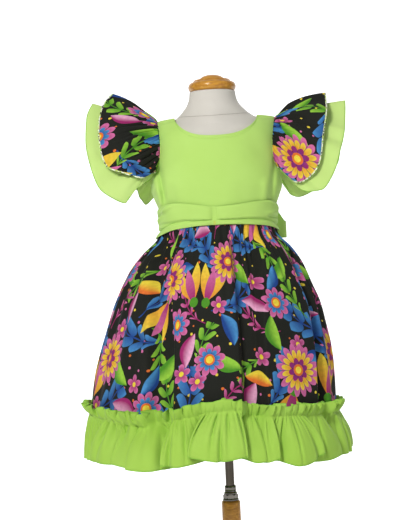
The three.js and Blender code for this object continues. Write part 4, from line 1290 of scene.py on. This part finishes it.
def flounce_point(angle, v):
    """The flounce from its hem (v -1) up to the gathering line (0) and the heading's top (1)."""
    height = flounce_height(angle)
    fall = np.clip(-v, 0, 1)
    up = np.clip(v, 0, 1)
    path = hem_path(angle)
    gather = skirt_point(angle, height["gather"], FLOUNCE_LINE, ruffled=False)
    low = flounce_height(path["hem"])["hem"] + path["rise"]
    hem = section_point(hem_section, path["hem"], low, path["stand"] - HEM_INSET)
    spread = (np.sin(fall * math.pi / 2) ** 0.9)[..., None]
    body = lerp(gather, hem, spread)
    body[..., 2] = lerp(height["gather"], low, fall)
    fine = grooves(angle, 80, 120, 5, 0.5)
    coarse = grooves(angle, 26, 48, 6, 0.4)
    long = grooves(angle, 12, 24, 12, 0.3)
    uneven = ripples(angle, 16, 26, 10)
    size = FLOUNCE_CREASES
    depth = size["fine"] * fine * np.exp(-fall * 4) + size["coarse"] * coarse * fall * np.exp(-fall * 4.2)
    depth = depth + (size["long"] * long + size["uneven"] * uneven) * smoothstep(fall, 0.1, 0.6)
    deeper = LEFT_DEEPER * np.exp(-(((angle + 50) / 30) ** 2)) * smoothstep(angle, -90, -75)
    depth = depth * (1 + deeper)
    turn = np.radians(angle)
    outward = np.stack([np.sin(turn), -np.cos(turn), np.zeros_like(angle)], axis=-1)
    body = body + outward * (depth * smoothstep(fall, 0.015, 0.08))[..., None]
    wave = 3.0 * ripples(angle, 84, 128, 7) + 2.0 * ripples(angle, 38, 60, 17)
    carried = angle + up * 0.7 * ripples(angle, 84, 128, 9)
    lean = (1 - (1 - up) ** 2) * HEADING_LEAN + up ** 0.7 * np.maximum(wave, -4.0) + 2.2 * fine * (1 - up)
    heading = skirt_point(carried, height["gather"], FLOUNCE_LINE + lean, ruffled=False)
    rise = up * (HEADING_HEIGHT - 1 + 1.2 * ripples(angle, 20, 50, 8) + 0.8 * ripples(angle, 70, 110, 18))
    heading[..., 2] = height["gather"] + rise
    seam_dip = outward * (-1.6 * np.exp(-((v / 0.06) ** 2)))[..., None]
    return np.where((v >= 0)[..., None], heading, body) + seam_dip


def add_flounce():
    for word, (facing, start) in HALVES.items():
        u, v = grid(*FLOUNCE_GRID)
        angle = half_turn(start, u)
        heading = HEADING_ROWS / FLOUNCE_GRID[1]
        level = np.where(v < 1 - heading, v / (1 - heading) - 1, (v - 1 + heading) / heading)
        points = flounce_point(angle, level)
        keep_to_half(points, facing)
        uv = cloth_uv(points, level=0)
        piece = cloth_piece(f"flounce_strip_{word}", points, uv, flounce_poplin_painted_shade)
        place_piece(piece, "form", [f"flounce_{word}"])
        rolls = [tube(points[:, 0], 0.8, spacing=2.0), tube(points[:, -1], 0.7, spacing=2.0)]
        edges = joined(f"flounce_edges_{word}", rolls, hem_poplin)
        place_piece(edges, "form")


# Sash and bow

sash_profile = table(["across", "stand"], [
    [0, 1.4],
    [0.1, 2.2],
    [0.2, 1.6],
    [0.26, -0.4],
    [0.3, 3.4],
    [0.36, 4.2],
    [0.62, 3.4],
    [0.9, 2.6],
    [1, 1.4],
])

SASH_FOLDS = [
    {"start": (-86, 845), "end": (-60, 852), "wide": 3.2, "rise": -4.8},
    {"start": (-84, 838), "end": (-46, 864), "wide": 3.4, "rise": 4.4},
    {"start": (-84, 832), "end": (-20, 836), "wide": 2.4, "rise": -3.2},
    {"start": (55, 838.5), "end": (84, 838), "wide": 3.0, "rise": -4.5},
    {"start": (52, 846), "end": (84, 846), "wide": 4.0, "rise": 3.0},
    {"start": (50, 866), "end": (84, 852), "wide": 3.2, "rise": 2.4},
    {"start": (20, 836), "end": (84, 831), "wide": 2.6, "rise": -2.2},
    {"start": (-3, 860), "end": (-3, 831), "wide": 1.5, "rise": -3.6},
]


SASH_ROWS = 40
SASH_CLOTH = 0.9
TACK = {"half_angle": 3.4, "pull": 1.4, "threads": (-0.5, 0.0, 0.6), "stand": 0.75, "radius": 0.28}


def sash_point(angle, across):
    edges = sash_edges(angle)
    z = lerp(edges["low"], edges["high"], across)
    tack = np.exp(-(((angle - TACK_ANGLE) / TACK["half_angle"]) ** 2))
    pull = TACK["pull"] * tack * (1 - across)
    stand = sash_profile(across)["stand"] * (1 - 0.7 * tack) - pull
    stand = stand + 0.35 * ripples(angle, 6, 14, 9) + crease_depth(angle, z, SASH_FOLDS)
    return section_point(sash_section, angle, z, np.maximum(stand, -0.9))


def add_sash():
    stretches = [
        ("sash_band_front", "sash_front", -SASH_SIDE, SASH_SIDE, 260, (0.37, 0.05)),
        ("sash_band_left", "sash_back_left", -SASH_END, -SASH_SIDE - 2 * SEAM_ANGLE, 90, (0.14, 0.05)),
        ("sash_band_right", "sash_back_right", SASH_SIDE + 2 * SEAM_ANGLE, SASH_END, 90, (0.14, 0.05)),
    ]
    for name, node, start, stop, columns, flat in stretches:
        u, v = grid(columns, SASH_ROWS)
        points = sash_point(lerp(start, stop, u), v)
        piece = cloth_piece(name, points, cloth_uv(points), poplin, SASH_CLOTH)
        place_piece(piece, "form", [node])
        threads = [add_tack()] if name.endswith("front") else []


def add_tack():
    """The few threads that hold the sash's middle down."""
    down = np.linspace(0.0, 1.0, 8)
    threads = []
    for shift in TACK["threads"]:
        line = sash_point(np.full_like(down, TACK_ANGLE + shift), lerp(0.02, 0.22, down))
        line[:, 1] -= TACK["stand"]
        threads.append(tube(line, TACK["radius"], 5, spacing=0.8))
    return place_piece(joined("sash_tack", threads, tack_thread), "form")


KNOT = {"x": 4.0, "y": 95.0, "z": 836.0, "wide": 13.0, "deep": 8.4, "tall": 15.0}
LOOPS = [
    {"side": -1, "word": "left", "reach": 100, "back": 12, "low": 806, "high": 852, "belly": 15},
    {"side": 1, "word": "right", "reach": 122, "back": 10, "low": 804, "high": 853, "belly": 17},
]
TAILS = [
    {"side": -1, "word": "left", "length": 236, "spread": 14, "width": 56, "slant": 26},
    {"side": 1, "word": "right", "length": 218, "spread": 19, "width": 58, "slant": 30},
]
KNOT_GRID = (72, 40)
KNOT_WELD = 0.02
LOOP_GRID = (150, 30)
LOOP_FOOT = 9
LOOP_DROOP = 20
TAIL_GRID = (44, 110)
TAIL_TOP = 16
BOW_EDGE_RADIUS = 0.6


def add_knot():
    """The bow's knot: a band wrapped round the loops' middle, with folds down it."""
    u, v = grid(*KNOT_GRID)
    turn, rise = 2 * math.pi * u, (v - 0.5) * math.pi
    pinch = 1 + 0.06 * np.sin(turn * 7 + 1.2 * np.sin(rise * 2)) * np.cos(rise)
    points = np.stack([
        KNOT["x"] + KNOT["wide"] * pinch * np.cos(rise) ** 0.8 * np.cos(turn),
        KNOT["y"] + KNOT["deep"] * pinch * np.cos(rise) ** 0.8 * np.sin(turn),
        KNOT["z"] + KNOT["tall"] * np.sin(rise),
    ], axis=-1)
    uv = cloth_uv(points).reshape(-1, 2)
    piece = make_object("bow_wrap", points.reshape(-1, 3), grid_faces(*KNOT_GRID), poplin, uv)
    add_weld(piece, KNOT_WELD)
    place_piece(piece, "form", ["bow_knot"])


def add_loop(loop):
    u, v = grid(*LOOP_GRID)
    if loop["side"] < 0:
        u = 1 - u
    turn = math.pi * (2 * u - 1)
    out = (1 + np.cos(turn)) / 2
    belly = loop["belly"] * np.sin(turn) * np.sqrt(np.maximum(out, 0)) * 0.95
    x = KNOT["x"] + loop["side"] * (KNOT["wide"] + 0.9 + (loop["reach"] - KNOT["wide"]) * out)
    y = KNOT["y"] + 4 + belly - loop["back"] * out * out + 3.2 * np.sin(turn / 2) * (1 - out)
    opening = smoothstep(out, 0, 0.55)
    droop = LOOP_DROOP * smoothstep(out, 0.84, 1.0)
    low = lerp(KNOT["z"] - LOOP_FOOT, loop["low"], opening)
    high = lerp(KNOT["z"] + LOOP_FOOT, loop["high"], opening) - droop
    z = lerp(low, high, v)
    points = np.stack([x, y, z], axis=-1)
    folds = 0.9 * np.sin(v * 22 + 3 * out) * (1 - smoothstep(out, 0.1, 0.8)) * smoothstep(out, 0, 0.1)
    points += surface_normals(points) * folds[..., None]
    piece = cloth_piece(f"bow_band_{loop['word']}", points, cloth_uv(points), poplin)
    place_piece(piece, "form", [f"bow_loop_{loop['word']}"])
    edges = [tube(points[:, 0], BOW_EDGE_RADIUS), tube(points[:, -1], BOW_EDGE_RADIUS)]
    hem = place_piece(joined(f"bow_band_{loop['word']}_edges", edges, hem_poplin), "form")


def add_tail(tail):
    u, v = grid(*TAIL_GRID)
    fall = 1 - v
    width = lerp(TAIL_TOP, tail["width"], smoothstep(fall, 0, 0.35))
    x = KNOT["x"] + tail["side"] * (1.5 + width / 2 + tail["spread"] * fall) + (0.5 - u) * width
    z = KNOT["z"] - KNOT["tall"] - 0.6 - fall * (tail["length"] + tail["slant"] * (u - 0.5) * tail["side"])
    on_skirt = section_point_at(skirt_section, x, np.minimum(z, WAIST_Z), -1, 6.0)
    y = lerp(KNOT["y"] - 1, on_skirt[..., 1], smoothstep(fall, 0, 0.12))
    folds = 1.6 * np.sin(u * 9 + tail["side"] + fall * 1.5) * smoothstep(fall, 0.02, 0.2) * (1 - 0.5 * fall)
    points = np.stack([x, y + folds + 1.6 * smoothstep(fall, 0.05, 0.2), z], axis=-1)
    piece = cloth_piece(f"bow_end_{tail['word']}", points, cloth_uv(points), poplin)
    place_piece(piece, "form", [f"bow_tail_{tail['word']}"])
    rim = np.concatenate([points[0, ::-1], points[1:, 0], points[-1, 1:]])
    hem = joined(f"bow_end_{tail['word']}_edges", [tube(rim, BOW_EDGE_RADIUS)], hem_poplin)
    place_piece(hem, "form")


# Dress form and stand


FORM_GRID = (112, 140)
NECK_SEAM = {"z": 1026.9, "dip": 5.4, "lean": 1.2, "radius": 0.5}


def add_form():
    """The padded torso, smooth all over, with the seam where its neck joins."""
    sides, rows = FORM_GRID
    u, v = grid(sides, rows)
    z = lerp(FORM_BOTTOM_Z, FORM_TOP_Z, v)
    points = section_point(form_section, 360 * u, z)
    points = points[:-1]
    ends = [points[:, 0].mean(axis=0), points[:, -1].mean(axis=0)]
    flat = np.concatenate([points.reshape(-1, 3), ends])
    step = rows + 1
    faces = grid_faces(sides - 1, rows, closed=True)
    for i in range(sides):
        a, b = i * step, ((i + 1) % sides) * step
        faces += [(b, a, len(flat) - 2), (a + rows, b + rows, len(flat) - 1)]
    uv = np.stack([flat[:, 0] + flat[:, 1], flat[:, 2]], axis=1)
    piece = make_object("form_body", flat, faces, jersey, uv)
    place_piece(piece, "form", ["form_torso"])
    around = np.linspace(0, 360, 181)
    turn = np.radians(around)
    seam_z = NECK_SEAM["z"] - NECK_SEAM["dip"] * np.cos(turn) ** 2 + NECK_SEAM["lean"] * np.sin(turn)
    line = section_point(form_section, around, seam_z, 0.1)
    seam = joined("form_neck_seam", [tube(line, NECK_SEAM["radius"], closed=True)], seam_thread)
    place_piece(seam, "form")


def add_neck_cap():
    low = FORM_TOP_Z + GAP
    profile = [
        (0, low),
        *bead(35.8, low + 8.5, 7.2, 8.5, -90, 90, 24),
        (34.6, low + 17.2), (33.8, low + 18.0),
        (33.0, low + 20.4), (32.0, low + 21.2),
        (24.5, low + 21.6), (23.5, low + 22.0),
        *bead(0, low + 21, 22.5, 10, 8, 82, 20),
        (0, low + 31),
    ]
    place_piece(turned_piece("cap_turning", profile, varnish, 128), "form", ["neck_cap"])


def add_pole():
    top = FORM_BOTTOM_Z - GAP
    profile = [
        (0, 84), (7, 84), (7.6, 84.3), (8, 85), (8, 85.5),
        *[(8, z) for z in np.linspace(90, top - 18.5, 30)],
        (8, top - 18), (11.2, top - 18), (11.5, top - 17.7), (11.5, top - 4.3), (11.5, top - 4),
        (34.5, top - 4), (35, top - 3.6), (35, top - 0.4), (34.6, top), (0, top),
    ]
    place_piece(turned_piece("pole_tube", profile, pole_chrome_painted_dark), "pole", ["pole"])


def add_clamp():
    ring = [
        (BORE_RADIUS, 334.3), (14.1, 334.3), (14.5, 334.7), (14.5, 337.2),
        (13.7, 338), (BORE_RADIUS, 338), (BORE_RADIUS, 334.3),
    ]
    place_piece(turned_piece("clamp_washer", ring, chrome), "base", ["washer"])
    collar = [
        (BORE_RADIUS, 345.3), (12, 345.3), (12, 348), (11.6, 348.6), (10.5, 350), (10.5, 351),
        (10.5, 353.4), (10.1, 353.8), (10.5, 354.2), (10.5, 360), (9.5, 361), (BORE_RADIUS, 361),
        (BORE_RADIUS, 345.3),
    ]
    place_piece(turned_piece("clamp_sleeve", collar, chrome), "base", ["clamp_collar"])
    place_piece(nut_piece(), "base", ["clamp_nut"])


NUT = {"low": 338.3, "high": 345.0, "across": 24.0, "bevel": 1.1, "corner": 0.93}


def nut_piece():
    """The hexagonal nut, with its corners chamfered at both ends."""
    low, high, across, bevel = NUT["low"], NUT["high"], NUT["across"], NUT["bevel"]
    sides = 96
    turns = np.linspace(0, 2 * math.pi, sides, endpoint=False)
    corner = across / math.sqrt(3)
    hexagon = across / 2 / np.cos(turns % (math.pi / 3) - math.pi / 6)
    chamfer = np.minimum(hexagon, corner * NUT["corner"])
    bore = np.full(sides, BORE_RADIUS)
    levels = [
        (bore, low), (chamfer, low), (hexagon, low + bevel),
        (hexagon, high - bevel), (chamfer, high), (bore, high), (bore, low),
    ]
    points = np.stack([
        np.stack([radius * np.cos(turns), radius * np.sin(turns), np.full(sides, z)], axis=-1)
        for radius, z in levels
    ], axis=1)
    faces = grid_faces(sides - 1, len(levels) - 1, closed=True)
    flat = points.reshape(-1, 3)
    piece = make_object("clamp_hexagon", flat, faces, chrome, flat[:, :2])
    piece.data.polygons.foreach_set("use_smooth", [False] * len(piece.data.polygons))
    add_weld(piece, TURNED_WELD)
    return piece


def add_stand():
    seat = BASE_HEIGHT + GAP
    post = [
        (0, seat), (36, seat),
        *bead(36, seat + 6, 6, 6, -90, 90, 18),
        *bead(36, seat + 26, 15, 14, -90, -180, 14),
        (19.5, seat + 90), (18.6, seat + 135), (18, seat + 180), (17.4, seat + 230),
        (17, POST_TOP_Z - 30), (17, POST_TOP_Z - 4), (16.6, POST_TOP_Z - 2), (15, POST_TOP_Z),
        (BORE_RADIUS, POST_TOP_Z), (BORE_RADIUS, seat + 8), (0, seat + 8),
    ]
    place_piece(turned_piece("post_turning", post, varnish), "base", ["post"])
    base = [
        (0, 0), (BASE_RADIUS - 4, 0),
        *bead(BASE_RADIUS - 4, 4, 4, 4, -90, 0, 8),
        *bead(BASE_RADIUS - 12, BASE_HEIGHT - 8, 12, 8, 0, 90, 16),
        (0, BASE_HEIGHT),
    ]
    place_piece(turned_piece("base_turning", base, varnish, 160), "base", ["base_disc"])


# Camera, light and room

CAMERA = {"x": -21.4, "away": 2520.0, "z": 742.0, "pitch": 0.57, "roll": 2.62, "focal": 1400.0}
LONG_SIDE_PIXELS = 520
SENSOR_MM = 36.0
ROOM = {"half": 14000.0, "wall": 12500.0, "curve": 2000.0, "high": 15000.0}


def add_camera():
    data = bpy.data.cameras.new("camera")
    data.sensor_width = SENSOR_MM
    data.lens = SENSOR_MM * CAMERA["focal"] / LONG_SIDE_PIXELS
    camera = bpy.data.objects.new("camera", data)
    bpy.context.scene.collection.objects.link(camera)
    level = Matrix.Rotation(math.radians(90 + CAMERA["pitch"]), 4, "X")
    roll = Matrix.Rotation(math.radians(-CAMERA["roll"]), 4, "Z")
    place = Matrix.Translation(Vector((CAMERA["x"], -CAMERA["away"], CAMERA["z"])) * MM)
    camera.matrix_world = place @ level @ roll
    bpy.context.scene.camera = camera


# The lamps: name, place in metres, size, power, colour, and whether gloss shows them.

LAMPS = [
    ("key", (-1.15, -2.9, 2.35), 0.7, 89, (1.0, 0.985, 0.96), True),
    ("fill", (2.4, -2.2, 1.2), 2.4, 10, (0.95, 0.98, 1.0), True),
    ("rim", (0.6, 2.2, 2.2), 1.6, 30, (1.0, 1.0, 1.0), False),
]
LAMP_TARGET = (0, 0, 0.75)
SKY_LOW = (0.14, 0.14, 0.14)
SKY_HIGH = (0.95, 0.95, 0.95)
SKY_STRENGTH = 0.42


def add_area_light(name, place, size, power, colour, glossy):
    data = bpy.data.lights.new(name, "AREA")
    data.shape = "DISK"
    data.size = size
    data.energy = power
    data.color = colour
    lamp = bpy.data.objects.new(name, data)
    lamp.location = place
    lamp.rotation_mode = "QUATERNION"
    lamp.rotation_quaternion = (Vector(LAMP_TARGET) - Vector(place)).to_track_quat("-Z", "Y")
    lamp.visible_camera = False
    lamp.visible_glossy = glossy
    bpy.context.scene.collection.objects.link(lamp)


def add_room():
    """A pale floor that sweeps up into a pale wall far behind, glowing more the further back as painted
    light, and soft light from all round.
    """
    material, tree, shader, _ = new_material("studio paper, glowing")
    tone = object_noise(tree, 2.0)
    colour = mixed(tree, tone, (0.86, 0.86, 0.86), (0.9, 0.9, 0.9))
    colour_shader(tree, shader, colour, Roughness=0.9, Emission_Color=(1.0, 1.0, 1.0, 1.0))
    place = new_node(tree, "ShaderNodeTexCoord").outputs["Object"]
    back = Field(tree, new_node(tree, "ShaderNodeSeparateXYZ", Vector=place).outputs[1])
    # Painted light: the sweep glows, more strongly the further back it lies, so the far wall shows bright.
    glow = back.times_plus(1.25, -1.2).math("MAXIMUM", 0.0).math("MINIMUM", 0.8)
    tree.links.new(glow.socket, shader.inputs["Emission Strength"])
    turns = np.linspace(0, math.pi / 2, 17)
    sweep = [(-ROOM["half"], 0)]
    sweep += [
        (ROOM["wall"] + ROOM["curve"] * (math.sin(t) - 1), ROOM["curve"] * (1 - math.cos(t)))
        for t in turns
    ]
    sweep += [(ROOM["wall"], ROOM["high"])]
    points = [(x, y, z) for x in (-ROOM["half"], ROOM["half"]) for y, z in sweep]
    count = len(sweep)
    faces = [(i, count + i, count + i + 1, i + 1) for i in range(count - 1)]
    floor = make_object("floor", points, faces, material)
    world = bpy.data.worlds.new("studio")
    world.use_nodes = True
    background = world.node_tree.nodes["Background"]
    around = world.node_tree.nodes.new("ShaderNodeTexCoord").outputs["Generated"]
    split = new_node(world.node_tree, "ShaderNodeSeparateXYZ", Vector=around)
    height = Field(world.node_tree, split.outputs[2]).times_plus(1.3, 0.12)
    share = height.math("MINIMUM", 1.0).math("MAXIMUM", 0.0)
    glow = mixed(world.node_tree, share, SKY_LOW, SKY_HIGH)
    world.node_tree.links.new(glow, background.inputs[0])
    background.inputs[1].default_value = SKY_STRENGTH
    bpy.context.scene.world = world
    for lamp in LAMPS:
        add_area_light(*lamp)


def set_view():
    view = bpy.context.scene.view_settings
    view.view_transform = "Standard"
    view.look = "None"


def finish_zip():
    for node in ("zip_slider", "zip_tab"):
        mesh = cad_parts[node].data
        mesh.materials.clear()
        mesh.materials.append(enamel)


add_camera()
add_room()
set_view()
add_form()
add_neck_cap()
add_pole()
add_clamp()
add_stand()
finish_zip()
add_bodice()
add_zip_chain()
add_sleeves()
add_skirt()
add_flounce()
add_sash()
add_knot()
for loop in LOOPS:
    add_loop(loop)
for tail in TAILS:
    add_tail(tail)
